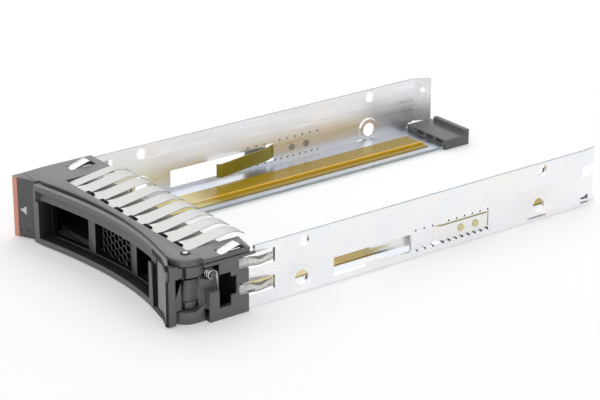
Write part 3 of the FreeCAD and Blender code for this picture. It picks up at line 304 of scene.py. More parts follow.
@dataclass(frozen=True)
class SpringStrip(Finish):
    """Cold-rolled stainless spring strip or wire: satin, drawn along the piece."""

    deep: str = "#c4c4c3"
    pale: str = "#e2e2e1"
    roughness: float = 0.33
    # Drawing lines; the real ones are finer than a pixel
    line: float = 0.25
    stretch: float = 0.05

    def paint(self, tree: NodeTree, surface: Node, place: NodeSocket) -> None:
        """Sets up satin metal with fine lines along the fingers.

        Args:
            tree: The material's node tree.
            surface: Its Principled shader.
            place: Object coordinates, in metres.
        """
        drawn = add(tree, "ShaderNodeMapping", {"Vector": place, "Scale": (1.0, self.stretch, 1.0)})
        lines = add(tree, "ShaderNodeTexNoise", pattern(drawn.outputs[0], self.line, 2.0))
        tone = add(tree, "ShaderNodeMix", {0: lines.outputs[0], 6: linear(self.deep), 7: linear(self.pale)},
                   data_type="RGBA")
        matt = add(tree, "ShaderNodeMapRange", spread(lines, self.roughness - 0.06, self.roughness + 0.08))
        wire(surface, {"Base Color": tone.outputs[2], "Roughness": matt.outputs[0], "Metallic": 1.0})


@dataclass(frozen=True)
class PolyimideFilm(Finish):
    """Cast polyimide film: amber and glossy, with its front end painted paler as a painted reflection."""

    amber: str = "#a88a04"
    pale: str = "#e6d795"
    # Y between which the pale front, a painted reflection, turns amber
    turn: Pair = (-21.0, -14.0)
    wave: float = 11.0

    def paint(self, tree: NodeTree, surface: Node, place: NodeSocket) -> None:
        """Sets up a glossy film whose front end is painted paler, as a painted reflection.

        Args:
            tree: The material's node tree.
            surface: Its Principled shader.
            place: Object coordinates, in metres.
        """
        split = add(tree, "ShaderNodeSeparateXYZ", {0: place})
        reach = add(tree, "ShaderNodeMapRange", {
            "Value": split.outputs[1], "From Min": self.turn[0] * MM, "From Max": self.turn[1] * MM})
        cloud = add(tree, "ShaderNodeTexNoise", pattern(place, self.wave, 2.0))
        tone = add(tree, "ShaderNodeMix", {
            0: reach.outputs[0], 6: linear(self.pale), 7: linear(self.amber)}, data_type="RGBA")
        wave = add(tree, "ShaderNodeBump", {
            "Height": cloud.outputs[0], "Strength": 0.2, "Distance": 0.1 * MM})
        wire(surface, {"Base Color": tone.outputs[2], "Roughness": 0.26, "IOR": 1.52,
                       "Specular IOR Level": 0.35, "Normal": wave.outputs[0]})


@dataclass(frozen=True)
class CoatedLeaf(Finish):
    """Spring leaf under an amber coating: olive gold, satin."""

    deep: str = "#8b8116"
    pale: str = "#a39622"
    cloud: float = 5.0

    def paint(self, tree: NodeTree, surface: Node, place: NodeSocket) -> None:
        """Sets up a satin coat over metal, with a slow change of tone.

        Args:
            tree: The material's node tree.
            surface: Its Principled shader.
            place: Object coordinates, in metres.
        """
        cloud = add(tree, "ShaderNodeTexNoise", pattern(place, self.cloud, 3.0))
        tone = add(tree, "ShaderNodeMix", {0: cloud.outputs[0], 6: linear(self.deep), 7: linear(self.pale)},
                   data_type="RGBA")
        matt = add(tree, "ShaderNodeMapRange", {"Value": cloud.outputs[0], "To Min": 0.25, "To Max": 0.4})
        wire(surface, {"Base Color": tone.outputs[2], "Roughness": matt.outputs[0], "Metallic": 0.4,
                       "Coat Weight": 0.4, "Coat Roughness": 0.15})


@dataclass(frozen=True)
class ClearLens(Finish):
    """Polycarbonate light pipe: milky white and glossy, with light under its surface."""

    milk: str = "#dcdcda"
    haze: float = 0.8

    def paint(self, tree: NodeTree, surface: Node, place: NodeSocket) -> None:
        """Sets up a glossy milky plastic with a faint haze.

        Args:
            tree: The material's node tree.
            surface: Its Principled shader.
            place: Object coordinates, in metres.
        """
        haze = add(tree, "ShaderNodeTexNoise", pattern(place, self.haze, 2.0))
        matt = add(tree, "ShaderNodeMapRange", {"Value": haze.outputs[0], "To Min": 0.15, "To Max": 0.35})
        wire(surface, {"Base Color": linear(self.milk), "Roughness": matt.outputs[0], "IOR": 1.58,
                       "Subsurface Weight": 0.2, "Subsurface Scale": 0.3 * MM})


# Charcoal moulded ABS, matt with a soft sheen along its rounded edges
BEZEL_PLASTIC = MouldedPlastic("abs_charcoal_moulded", "#58585a", "#626264", roughness=0.46, specular=0.75)
# The same ABS from a finer mould: a touch darker and smoother than the housing beside it
PLATE_PLASTIC = MouldedPlastic("abs_black_satin", "#515152", "#59595a", roughness=0.42, grain=0.28)
# Painted shade: near-black ABS with no gloss, inside the housing where no light reaches
UNLIT_SHADE_PLASTIC = MouldedPlastic("abs_black_painted_shade", "#0e0a0c", "#141012", roughness=0.8, specular=0.1)
# Painted shade on charcoal ABS: reveals, sill and recess that look dark beside the grained face
SHADED_PLASTIC = MouldedPlastic("abs_charcoal_painted_shade", "#232324", "#2c2c2d", roughness=0.6, specular=0.2)
# Bare polyester label on its panel: plain mid grey, smoother than the plastic round it
LABEL_PLASTIC = MouldedPlastic("polyester_label_grey", "#8b8b8b", "#979797", roughness=0.4, grain=0.5,
                               relief=0.008)
# Terracotta moulded POM: the one warm colour, matt and even
LATCH_PLASTIC = MouldedPlastic("pom_terracotta_moulded", "#e39a84", "#eaa791", roughness=0.5, relief=0.012)
# Black moulded POM of the rear guides, coloured grey as painted light from above
GUIDE_PLASTIC = MouldedPlastic("pom_black_painted_light", "#5d5d5e", "#69696a", roughness=0.45)
# Bright zinc plate on the rails' walls: near white, with faint warm and cool clouds
ZINC = ZincPlate("zinc_plated_sheet")
# The same plate on the shelves, painted darker and blue-grey: painted shade and a painted reflection of the
# walls
ZINC_SHELF_SHADED = ZincPlate("zinc_shelf_painted_shade", "#c6c6c4", "#b9c0cb", "#c1c5cc", cloud=12.0)
# Cut edges of the sheet: a thin blue-grey line along each rim, a painted reflection
ZINC_EDGE_REFLECTION = ZincPlate("zinc_cut_edge_painted_reflection", "#a3aaab", "#929da2", "#99a3a8", roughness=0.4, cloud=3.0)
# Small dark marks where the sheet is pierced
ZINC_PIERCED = ZincPlate("steel_pierced_dark", "#4c4b49", "#3c3c3e", "#454545", roughness=0.5, cloud=2.0)
# Stainless strip of the fingers: satin, pale grey with fine lines along it
SPRING = SpringStrip("stainless_spring_strip", "#a4a4a2", "#b4b4b2", roughness=0.38)
# The same strip facing sideways, painted brighter as a painted reflection of the white room
SPRING_SIDE_REFLECTION = SpringStrip("stainless_strip_painted_reflection", "#e9e7e4", "#f4f3f1", roughness=0.3)
# The strip's flat base, softer, between the fingers, painted paler than them as painted light
SPRING_BASE_LIT = SpringStrip("stainless_strip_base_painted_light", "#cbcbc9", "#dededc", roughness=0.5)
# The strip where it is folded or curls down: painted darker, with a brown cast, as painted shade
SPRING_FOLD_SHADE = SpringStrip("stainless_strip_fold_painted_shade", "#75736a", "#8f8d84", roughness=0.4)
# Polished music wire of the small springs: thin bright highlights
WIRE = SpringStrip("music_wire_bright", "#b9b9b8", "#ededec", roughness=0.2)
# Ground end of the hinge pin: a small bright spot
PIN = SpringStrip("pin_steel_ground", "#a9a9a8", "#c4c4c3", roughness=0.3)
# The pin's shank and the ring round that spot, painted near black as painted shade of the recess and hole
PIN_SHADE = SpringStrip("pin_painted_shade", "#1b1a1a", "#262525", roughness=0.45)
# Stamped nickel screen: ribs painted dark grey as painted shade, with small glints
SCREEN = SpringStrip("nickel_screen_painted_shade", "#4a4a49", "#6c6c6a", roughness=0.3)
# Polyimide film on the shelves: deep amber, painted pale where it starts as a painted reflection
AMBER = PolyimideFilm("polyimide_film_amber")
# The film's raised crease: a bright orange-yellow line, a painted highlight
AMBER_CREASE_HIGHLIGHT = PolyimideFilm("polyimide_crease_painted_highlight", "#efc23a", "#f3e6ae")
# Amber coat on the leaf springs: olive gold
LEAF = CoatedLeaf("spring_leaf_amber_coat")
# The same coat worn thin on the leaf's outer band and on the rivets: straw yellow
LEAF_PALE = CoatedLeaf("spring_leaf_pale_coat", "#d6cb95", "#e2d8a6")
# Clear polycarbonate light pipe: a milky white triangle
LENS = ClearLens("polycarbonate_lens")
# Smoked polycarbonate of the two small pipes: glossy black marks
PIPE = ClearLens("polycarbonate_pipe_smoked", "#1d1d1d")


@dataclass
class Bench:
    """Turns meshes into finished pieces, each at the origin, on its body and in its finish."""

    nodes: dict[str, Object]

    def place(self, bm: BMesh, name: str, body: Body, slot: Slot, finishes: tuple[Finish, ...],
              stands_for: tuple[str, ...] = (), copied: bool = False) -> Object:
        """Writes a bmesh to a new piece.

        Args:
            bm: The mesh, which is freed.
            name: Name of the piece.
            body: Body that it rides on.
            slot: Record slot of its finish; not used.
            finishes: What it is dressed in; the first is the main one.
            stands_for: CAD nodes that it replaces.
            copied: Whether it is a node's copy, in metres and with its normals right.

        Returns:
            The new object.
        """
        if not copied:
            bmesh.ops.scale(bm, vec=(MM,) * 3, verts=bm.verts)
            bmesh.ops.recalc_face_normals(bm, faces=bm.faces)
        for face in bm.faces:
            face.smooth = True
        piece = release(bm, name)
        for finish in finishes:
            piece.data.materials.append(finish.material())
        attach(piece, body.value)
        if stands_for:
            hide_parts(*stands_for)
        LOG.info("%s: %d faces, on %s", name, len(piece.data.polygons), body.value)
        return piece

    def soften(self, piece: Object, edge: float, segments: int = 2) -> Object:
        """Rounds the sharp edges of a piece.

        Args:
            piece: What is softened.
            edge: Radius in millimetres.
            segments: Divisions of the rounding.

        Returns:
            The same piece.
        """
        bevel = piece.modifiers.new("edges", "BEVEL")
        bevel.width = edge * MM
        bevel.segments = segments
        bevel.limit_method = "ANGLE"
        bevel.angle_limit = math.radians(ROUNDED)
        bevel.use_clamp_overlap = False
        bevel.harden_normals = True
        return piece

    def copy(self, node: str) -> BMesh:
        """Copies a CAD node's mesh and merges its loose triangles.

        Args:
            node: The CAD node.

        Returns:
            The copy, in metres.
        """
        bm = bmesh.new()
        bm.from_mesh(self.nodes[node].data)
        bmesh.ops.remove_doubles(bm, verts=bm.verts, dist=WELD * MM)
        return bm

    def rebuilt(self, node: str, name: str, body: Body, slot: Slot, finishes: tuple[Finish, ...],
                edge: float = 0.0, choose: Chooser | None = None, shape: Shaper | None = None,
                merge: bool = True) -> Object:
        """Replaces a CAD node by its merged copy, with softened edges or, for thin sheet, crisp ones.

        Args:
            node: The CAD node.
            name: Name of the new piece.
            body: Body that it rides on.
            slot: Record slot of its finish.
            finishes: What it is dressed in; the first is the main one.
            edge: Edge radius in millimetres, or nothing for crisp edges.
            choose: Gives each face the number of its finish.
            shape: Changes the copy first.
            merge: Whether flat neighbours become one face before the softening.

        Returns:
            The new piece.
        """
        bm = self.copy(node)
        if shape:
            shape(bm)
        for border in bm.edges:
            border.smooth = len(border.link_faces) == 2 and border.calc_face_angle() < math.radians(CRISP)
        if choose:
            bm.normal_update()
            for face in bm.faces:
                face.material_index = choose(face)
        if edge:
            for border in bm.edges:
                border.smooth = True
            flat = [border for border in bm.edges if merge and len(border.link_faces) == 2
                    and border.calc_face_angle() < math.radians(FLAT)]
            bmesh.ops.dissolve_limit(bm, angle_limit=math.radians(MERGED), verts=[], edges=flat,
                                     delimit={"MATERIAL"})
        piece = self.place(bm, name, body, slot, finishes, (node,), copied=True)
        return self.soften(piece, edge) if edge else piece

    def carve(self, piece: Object, low: Point, high: Point) -> None:
        """Cuts a block out of a piece.

        Args:
            piece: What is cut.
            low: The block's lowest corner.
            high: Its highest corner.
        """
        bm = bmesh.new()
        block(bm, low, high)
        bmesh.ops.scale(bm, vec=(MM,) * 3, verts=bm.verts)
        waste = release(bm, "waste")
        cut = piece.modifiers.new("cut", "BOOLEAN")
        cut.object = waste
        kept = [modifier for modifier in piece.modifiers if modifier.type == "BEVEL"]
        for modifier in kept:
            modifier.show_viewport = False
        done = bpy.data.meshes.new_from_object(piece.evaluated_get(bpy.context.evaluated_depsgraph_get()))
        piece.modifiers.remove(cut)
        for modifier in kept:
            modifier.show_viewport = True
        piece.data = done
        bpy.data.objects.remove(waste)

    def dress(self, node: str, finish: Finish) -> None:
        """Gives a CAD node that stays in view a better material.

        Args:
            node: The CAD node.
            finish: What it is dressed in.
        """
        slots = self.nodes[node].data.materials
        slots.clear()
        slots.append(finish.material())
        LOG.info("%s: kept, in %s", node, finish.name)


def ribbon(bm: BMesh, path: Curve, across: Curve, steps: int, thickness: float, number: int = 0) -> None:
    """Adds a strip of sheet that follows a curve.

    Args:
        bm: Mesh to add to.
        path: Middle of the strip's face, for 0 at its root to 1 at its tip.
        across: From the strip's left edge to its right one, at the same places.
        steps: Number of divisions along it.
        thickness: Thickness of the sheet.
        number: Number of its finish.
    """
    made = bmesh.ops.create_grid(bm, x_segments=2, y_segments=steps, size=0.5)
    for vert in made["verts"]:
        along = vert.co.y + 0.5
        vert.co = path(along) + across(along) * vert.co.x
    faces = list(dict.fromkeys(face for vert in made["verts"] for face in vert.link_faces))
    for face in faces:
        face.material_index = number
    bmesh.ops.solidify(bm, geom=faces, thickness=thickness)


def block(bm: BMesh, low: Point, high: Point) -> None:
    """Adds a block.

    Args:
        bm: Mesh to add to.
        low: Its lowest corner.
        high: Its highest corner.
    """
    made = bmesh.ops.create_cube(bm, size=1.0)["verts"]
    bmesh.ops.scale(bm, vec=Vector(high) - Vector(low), verts=made)
    bmesh.ops.translate(bm, vec=(Vector(high) + Vector(low)) / 2, verts=made)


def cylinder(bm: BMesh, radius: float, start: Vector, end: Vector, sides: int) -> None:
    """Adds a cylinder.

    Args:
        bm: Mesh to add to.
        radius: Its radius.
        start: Middle of its first end.
        end: Middle of its second end.
        sides: Faces round it.
    """
    axis = end - start
    turn = Vector((0, 0, 1)).rotation_difference(axis).to_matrix().to_4x4()
    bmesh.ops.create_cone(bm, cap_ends=True, segments=sides, radius1=radius, radius2=radius,
                          depth=axis.length, matrix=Matrix.Translation((start + end) / 2) @ turn)


def between(table: Table, value: float) -> float:
    """Reads a table of pairs, in a straight line from pair to pair.

    Args:
        table: Pairs of a value and its result, with the values rising.
        value: What is looked up.

    Returns:
        Its result, or the value itself outside the table.
    """
    for (low, start), (high, end) in zip(table, table[1:]):
        if low <= value <= high:
            return start + (end - start) * (value - low) / (high - low)
    return value


@dataclass(frozen=True)
class FrontArc:
    """Hollow curve of the front. The real one is flatter than the collision solids have it."""

    # Half the chord and its Y, and the depth of the solids' arc and of the real one
    half: float = 35.2
    front: float = -68.7
    solid_depth: float = 9.2
    depth: float = 5.95
    # X where the move begins and between which it fades; its share and its first stretch in X
    left: float = -29.0
    fade: Pair = (27.0, 34.0)
    drift: float = 1.15
    frame_width: float = 1.3

    def sink(self, depth: float, x: float) -> float:
        """Returns how far behind the front an arc of the given depth is at X."""
        radius = (self.half ** 2 + depth ** 2) / (2 * depth)
        return max(0.0, depth - radius + math.sqrt(radius ** 2 - min(abs(x), self.half) ** 2))

    def behind(self, x: float, y: float) -> float:
        """Returns how far a place is behind the solids' arc."""
        return y - self.front - self.sink(self.solid_depth, x)

    def shift(self, x: float) -> float:
        """Gives the move in Y from the solids' arc to the real one, fading towards the hinge.

        Args:
            x: The place's X.

        Returns:
            The move, which is forward and so below zero.
        """
        if x < self.left:
            return 0.0
        share = min(1.0, max(0.0, (self.fade[1] - x) / (self.fade[1] - self.fade[0])))
        return (self.sink(self.depth, x) - self.sink(self.solid_depth, x)) * share

    def slide(self, x: float) -> float:
        """Returns the move in X that keeps a feature of the front where the photograph has it."""
        grow = min(1.0, max(0.0, (x - self.left) / self.frame_width))
        return -self.shift(x) * self.drift * grow

    def bend(self, bm: BMesh) -> None:
        """Moves a whole mesh with the arc.

        Args:
            bm: The mesh, in metres.
        """
        for vert in bm.verts:
            vert.co.x += self.slide(vert.co.x / MM) * MM
            vert.co.y += self.shift(vert.co.x / MM) * MM


ARC = FrontArc()


@dataclass
class Studio:
    """White sweep, soft lamps and the camera at the photograph's angle."""

    camera_place: Point = (391.55, -296.8, 203.8)
    camera_look: Point = (-0.7427, 0.5546, -0.3753)
    camera_roll: float = 0.18
    lens: float = 122.5
    floor_reach: float = 3000.0
    floor_glow: float = 0.24
    world_strength: float = 0.5
    # Name, place, aim, edge and watts of each softbox
    lamps: tuple[tuple[str, Point, Point, float, float], ...] = (
        ("key_softbox", (-260, 160, 620), (0, 0, 0), 900, 2.2),
        ("back_softbox", (-700, 520, 300), (0, -20, 0), 900, 1.0),
        ("fill_softbox", (520, -420, 330), (20, -20, 0), 500, 0.8))

    def build(self) -> None:
        """Makes the camera, the world, the floor and the lamps."""
        self.camera()
        self.world()
        self.floor()
        for lamp in self.lamps:
            self.lamp(*lamp)

    def camera(self) -> None:
        """Makes the camera, level but for a slight roll."""
        data = bpy.data.cameras.new("camera")
        data.lens = self.lens
        data.sensor_width = 36.0
        data.clip_end = 20.0
        camera = bpy.data.objects.new("camera", data)
        turn = Vector(self.camera_look).to_track_quat("-Z", "Y").to_matrix().to_4x4()
        roll = Matrix.Rotation(math.radians(self.camera_roll), 4, "Z")
        camera.matrix_world = Matrix.Translation(Vector(self.camera_place) * MM) @ turn @ roll
        bpy.context.scene.collection.objects.link(camera)
        bpy.context.scene.camera = camera

    def world(self) -> None:
        """Makes the soft white surroundings, plain white to the camera and in reflections."""
        world = bpy.data.worlds.new("studio")
        world.use_nodes = True
        tree = world.node_tree
        clear = any_ray(tree, "Is Camera Ray", "Is Glossy Ray", "Is Transmission Ray")
        level = add(tree, "ShaderNodeMapRange", {
            "Value": clear, "To Min": self.world_strength, "To Max": 1.0})
        wire(tree.nodes["Background"], {"Color": linear("#ffffff"), "Strength": level.outputs[0]})
        bpy.context.scene.world = world

    def floor(self) -> None:
        """Makes the white floor, which keeps the soft shadow."""
        bm = bmesh.new()
        bmesh.ops.create_grid(bm, x_segments=4, y_segments=4, size=self.floor_reach * MM)
        floor = release(bm, "floor")
        material = bpy.data.materials.new("white_sweep")
        material.use_nodes = True
        tree = material.node_tree
        seen = any_ray(tree, "Is Camera Ray", "Is Glossy Ray")
        glow = add(tree, "ShaderNodeMath", {0: seen, 1: self.floor_glow}, operation="MULTIPLY")
        wire(tree.nodes["Principled BSDF"], {
            "Base Color": linear("#f2f2f2"), "Roughness": 0.9, "Specular IOR Level": 0.1,
            "Emission Color": linear("#ffffff"), "Emission Strength": glow.outputs[0]})
        floor.data.materials.append(material)

    def lamp(self, name: str, place: Point, aim: Point, size: float, power: float) -> None:
        """Makes a square softbox.

        Args:
            name: Name of the lamp.
            place: Where it stands.
            aim: What it points at.
            size: Edge of its face.
            power: Watts.
        """
        data = bpy.data.lights.new(name, "AREA")
        data.shape = "SQUARE"
        data.size = size * MM
        data.energy = power
        lamp = bpy.data.objects.new(name, data)
        look = Vector(aim) - Vector(place)
        turn = look.to_track_quat("-Z", "Y").to_matrix().to_4x4()
        lamp.matrix_world = Matrix.Translation(Vector(place) * MM) @ turn
        bpy.context.scene.collection.objects.link(lamp)


@dataclass
class Bezel:
    """Moulded housing with its cap, indicator plate, light pipes and vent screen."""

    bench: Bench
    edge: float = 0.16
    fine_edge: float = 0.08
    # The hinge side's openings sit further forward and higher than the collision solids have them
    skin_left: float = 34.0
    forward: Table = (
        (-58.5, -58.5), (-56.25, -57.8), (-52.9, -55.0), (-50.1, -51.75), (-48.9, -50.2),
        (-48.3, -49.45), (-44.7, -45.9))
    upward: Table = (
        (0.0, 0.0), (1.5, 1.5), (1.6, 3.0), (3.9, 4.9), (6.5, 7.45), (10.8, 11.55), (13.4, 14.2),
        (14.5, 14.6), (20.0, 20.0))
    frame_front: float = -59.1
    frame_low: float = 7.0
    near: float = 0.2
    # X, Y and radius of the hinge's plinth in the solids, its right end and its top: it stays
    plinth: Point = (30.6, -55.7, 4.1)
    plinth_right: float = 34.09
    plinth_top: float = 10.7
    # Y, Z and radius of the boss on the cheek, and its own move
    boss: Point = (-54.8, 11.0, 1.0)
    boss_shift: float = -0.8
    # X and Y from which the cap's arm over the hinge side is shortened, and by how much
    arm: Point = (30.6, -45.5, 1.4)
    arc_left: float = -28.3
    arc_reach: float = 5.4
    # How far behind the arc the cap's front strip lies, and how much wider its lip gets
    strip: Pair = (0.5, 1.6)
    lip_more: float = 0.9
    deck_low: float = 13.8
    deck_front: float = -57.7
    # Front wall of the fingers' bay: its Y in the solids, the half of its width and its real Y
    bay_solid: float = -57.8
    bay_half: float = 30.0
    bay_front: float = -59.05
    barrel_radius: float = 2.2
    barrel_span: Pair = (4.9, 10.3)
    panes: Pair = (-30.0, 27.5)
    pane_rear: float = -45.2
    rear_wall: float = -50.0

    def build(self) -> None:
        """Makes the moulded pieces and the screen."""
        bench = self.bench
        bench.rebuilt("bezel_body", "bezel_housing", Body.FRAME, Slot.DARK, (BEZEL_PLASTIC, UNLIT_SHADE_PLASTIC),
                      self.edge, self.hollow_side, self.draw_skin)
        bench.rebuilt("bezel_cap", "bezel_top_cover", Body.FRAME, Slot.DARK, (BEZEL_PLASTIC,), self.edge,
                      shape=self.trim_cap)
        for node, name, slot, finish, shape in (
                ("indicator_plate", "indicator_face", Slot.BLACK, PLATE_PLASTIC, None),
                ("activity_light_pipe", "triangle_lens", Slot.LENS, LENS, None),
                ("status_light_pipes", "round_lenses", Slot.LENS, PIPE, None),
                ("vent_screen", "honeycomb_screen", Slot.SPRING, SCREEN, ARC.bend)):
            bench.rebuilt(node, name, Body.FRAME, slot, (finish,), self.fine_edge, shape=shape)
        bm = bmesh.new()
        low, high = self.barrel_span
        cylinder(bm, self.barrel_radius, Vector((*HINGE, low)), Vector((*HINGE, high)), 48)
        block(bm, (*HINGE, low), (HINGE[0] + self.barrel_radius, self.plinth[1], high))
        bench.soften(bench.place(bm, "hinge_barrel", Body.FRAME, Slot.DARK, (BEZEL_PLASTIC,)), self.edge)

    def hollow_side(self, face: BMFace) -> int:
        """Tells the unlit inside behind the panes, which gets the near-black painted shade, from the grained
        outside of the housing.

        Args:
            face: Face of the housing's copy.

        Returns:
            The number of its finish.
        """
        x, y, z = face.calc_center_median() / MM
        inside = self.panes[0] < x < self.panes[1] and y < self.pane_rear and OPENING[0] < z < OPENING[1]
        outward = face.normal.y <= -LEANING or y >= self.rear_wall and face.normal.y >= FACING
        return int(inside and not outward)

    def draw_skin(self, bm: BMesh) -> None:
        """Flattens the front's arc and draws the hinge side's skin forward and up.

        Args:
            bm: Copy of the housing, in metres.
        """
        for vert in bm.verts:
            x, y, z = vert.co / MM
            if z > self.deck_low and y > self.deck_front - self.near:
                if y < self.deck_front + self.near and x < self.skin_left:
                    vert.co.y = self.bay_front * MM
            elif x > self.arc_left and 0.0 < ARC.behind(x, y) < self.arc_reach:
                vert.co.x += ARC.slide(x) * MM
                vert.co.y += ARC.shift(vert.co.x / MM) * MM
            on_plinth = (math.hypot(x - self.plinth[0], y - self.plinth[1]) < self.plinth[2]
                         and z < self.plinth_top and x < self.plinth_right)
            if x < self.skin_left or y < self.forward[0][0] or on_plinth:
                continue
            if math.hypot(y - self.boss[0], z - self.boss[1]) < self.boss[2]:
                vert.co.y += self.boss_shift * MM
                continue
            front = y < self.forward[1][0] + self.near and z > self.frame_low
            vert.co.y = (self.frame_front if front else between(self.forward, y)) * MM
            vert.co.z = between(self.upward, z) * MM

    def trim_cap(self, bm: BMesh) -> None:
        """Fits the cap's front to the flatter arc and shortens its arm over the hinge side.

        Args:
            bm: Copy of the cap, in metres.
        """
        for vert in bm.verts:
            x, y, _ = vert.co / MM
            if abs(y - self.bay_solid) < self.near / 2 and abs(x) < self.bay_half:
                vert.co.y = self.bay_front * MM
            elif x > self.arc_left and self.strip[0] < ARC.behind(x, y) < self.strip[1]:
                vert.co.y += (ARC.shift(x) + self.lip_more * min(1.0, -ARC.shift(x))) * MM
            if vert.co.x > self.arm[0] * MM and vert.co.y > self.arm[1] * MM:
                vert.co.y -= self.arm[2] * MM


@dataclass
class Shroud:
    """Near-black box of painted shade in the unlit hollow behind the lever's panes and the hinge side's
    openings.
    """

    bench: Bench
    low: Point = (-33.0, -57.4, 2.0)
    high: Point = (32.7, -48.7, 14.4)
    side: Pair = (-58.0, -45.4)
    side_low: float = 1.3
    sheet: float = 0.4
    # Near-black bars of painted shadow under the cap's edge, one at each finger's root
    shadow_y: Pair = (-59.02, -57.7)
    shadow_z: Pair = (15.3, 16.06)
    shadow_width: float = 2.7
    first_shadow: float = -15.9
    shadow_pitch: float = 6.53
    shadow_count: int = 7

    def build(self) -> None:
        """Makes the box and the near-black bars of painted shadow at the fingers' roots."""
        bm = bmesh.new()
        block(bm, self.low, self.high)
        front = [face for face in bm.faces if face.normal.y < -FACING]
        bmesh.ops.delete(bm, geom=front, context="FACES_ONLY")
        bmesh.ops.solidify(bm, geom=bm.faces[:], thickness=self.sheet)
        block(bm, (self.high[0] - self.sheet, self.side[0], self.side_low),
              (self.high[0], self.side[1], self.high[2]))
        self.bench.place(bm, "painted_shade_liner", Body.FRAME, Slot.BLACK, (UNLIT_SHADE_PLASTIC,))
        # Painted shadow where each finger rises from under the cap's edge
        bm = bmesh.new()
        for number in range(self.shadow_count):
            left = self.first_shadow + self.shadow_pitch * number
            block(bm, (left, self.shadow_y[0], self.shadow_z[0]),
                  (left + self.shadow_width, self.shadow_y[1], self.shadow_z[1]))
        self.bench.place(bm, "finger_root_painted_shadows", Body.FRAME, Slot.BLACK, (UNLIT_SHADE_PLASTIC,))


@dataclass
class Lever:
    """Swing lever with its bare label panel, on a steel pin."""

    bench: Bench
    edge: float = 0.18
    # The cheek beside the hinge is shallow below the ear
    cheek_low: Point = (33.2, -65.1, -1.0)
    cheek_high: Point = (36.0, -62.0, 11.55)
    window: Pair = (-28.0, 24.5)
    reveal_facing: float = 0.8
    # Where the upper lip begins, how far behind the arc its rear edge is, and how much wider it gets
    lip_low: float = 14.0
    lip: Pair = (0.5, 1.1)
    lip_more: float = 0.9
    recess: Pair = (22.5, 35.0)
    recess_depth: float = 0.35
    label_edge: float = 0.08
    label_gap: Pair = (0.25, 0.45)
    # Fills the solids' groove at the lever's free end
    post: tuple[Point, Point] = ((-28.5, -66.7, 11.3), (-27.3, -64.5, 14.5))
    post_edge: float = 0.12
    pin_radius: float = 1.25
    pin_span: Pair = (0.6, 16.33)
    # Width and height of the ring of painted shade round the pin's ground end
    pin_shade_ring: Pair = (0.6, 0.12)
    pin_edge: float = 0.06

    def build(self) -> None:
        """Makes the lever, its panel and the pin."""
        bench = self.bench
        piece = bench.rebuilt("lever_handle", "lever_moulding", Body.LEVER, Slot.DARK,
                              (BEZEL_PLASTIC, SHADED_PLASTIC), self.edge, self.painted_shade_faces, self.thicken_lip,
                              merge=False)
        bench.carve(piece, self.cheek_low, self.cheek_high)
        bench.rebuilt("label_panel", "bare_label", Body.LEVER, Slot.GREY, (LABEL_PLASTIC,), self.label_edge,
                      shape=self.trim_label)
        bm = bmesh.new()
        block(bm, *self.post)
        piece = bench.place(bm, "lever_end_post", Body.LEVER, Slot.DARK, (BEZEL_PLASTIC,))
        bench.soften(piece, self.post_edge)
        bm = bmesh.new()
        low, high = self.pin_span
        cylinder(bm, self.pin_radius, Vector((*HINGE, low)), Vector((*HINGE, high)), 40)
        head = [face for face in bm.faces if face.normal.z > FACING]
        bmesh.ops.inset_region(bm, faces=head, thickness=self.pin_shade_ring[0], depth=self.pin_shade_ring[1])
        # The ground end stays bright; the ring and the shank take the painted shade
        for face in head:
            face.material_index = 1
        piece = bench.place(bm, "hinge_pin", Body.FRAME, Slot.PIN, (PIN_SHADE, PIN), ("pivot_pin",))
        bench.soften(piece, self.pin_edge)

    def trim_label(self, bm: BMesh) -> None:
        """Fits the label panel to the arc and opens the gap at its left and lower edges, over the recess's
        painted shade.

        Args:
            bm: Copy of the panel, in metres.
        """
        ARC.bend(bm)
        for axis, gap in zip((0, 2), self.label_gap):
            places = [vert.co[axis] for vert in bm.verts]
            low, high = min(places), max(places)
            for vert in bm.verts:
                vert.co[axis] += gap * MM * (high - vert.co[axis]) / (high - low)

    def thicken_lip(self, bm: BMesh) -> None:
        """Flattens the lever's arc and makes its upper lip as wide as the real one.

        Args:
            bm: Copy of the lever, in metres.
        """
        for vert in bm.verts:
            x, y, z = vert.co / MM
            if z > self.lip_low and self.lip[0] < ARC.behind(x, y) < self.lip[1]:
                vert.co.y += self.lip_more * min(1.0, -ARC.shift(x)) * MM
        ARC.bend(bm)

    def painted_shade_faces(self, face: BMFace) -> int:
        """Tells the window's sill and reveals and the label's recess, which lie in the dark and get the
        painted shade.

        Args:
            face: Face of the lever's copy.

        Returns:
            The number of its finish.
        """
        x, y, z = face.calc_center_median() / MM
        inside = self.window[0] < x < self.window[1] and OPENING[0] < z < OPENING[1]
        hidden = face.normal.z > FACING or abs(face.normal.x) > self.reveal_facing
        floor = ARC.front + ARC.sink(ARC.depth, x) + self.recess_depth
        recess = self.recess[0] < x < self.recess[1] and face.normal.y < -LEANING and y > floor
        return int(inside and hidden or recess)


@dataclass
class Latch:
    """Coloured release latch with its return spring."""

    bench: Bench

    def build(self) -> None:
        """Makes the latch, its upward faces in charcoal as painted shade where its tab runs under the block,
        and dresses its spring.
        """
        self.bench.rebuilt("release_latch", "latch_moulding", Body.LATCH, Slot.LATCH,
                           (LATCH_PLASTIC, BEZEL_PLASTIC), choose=lambda face: int(face.normal.z > LEANING))
        self.bench.dress("latch_spring", WIRE)


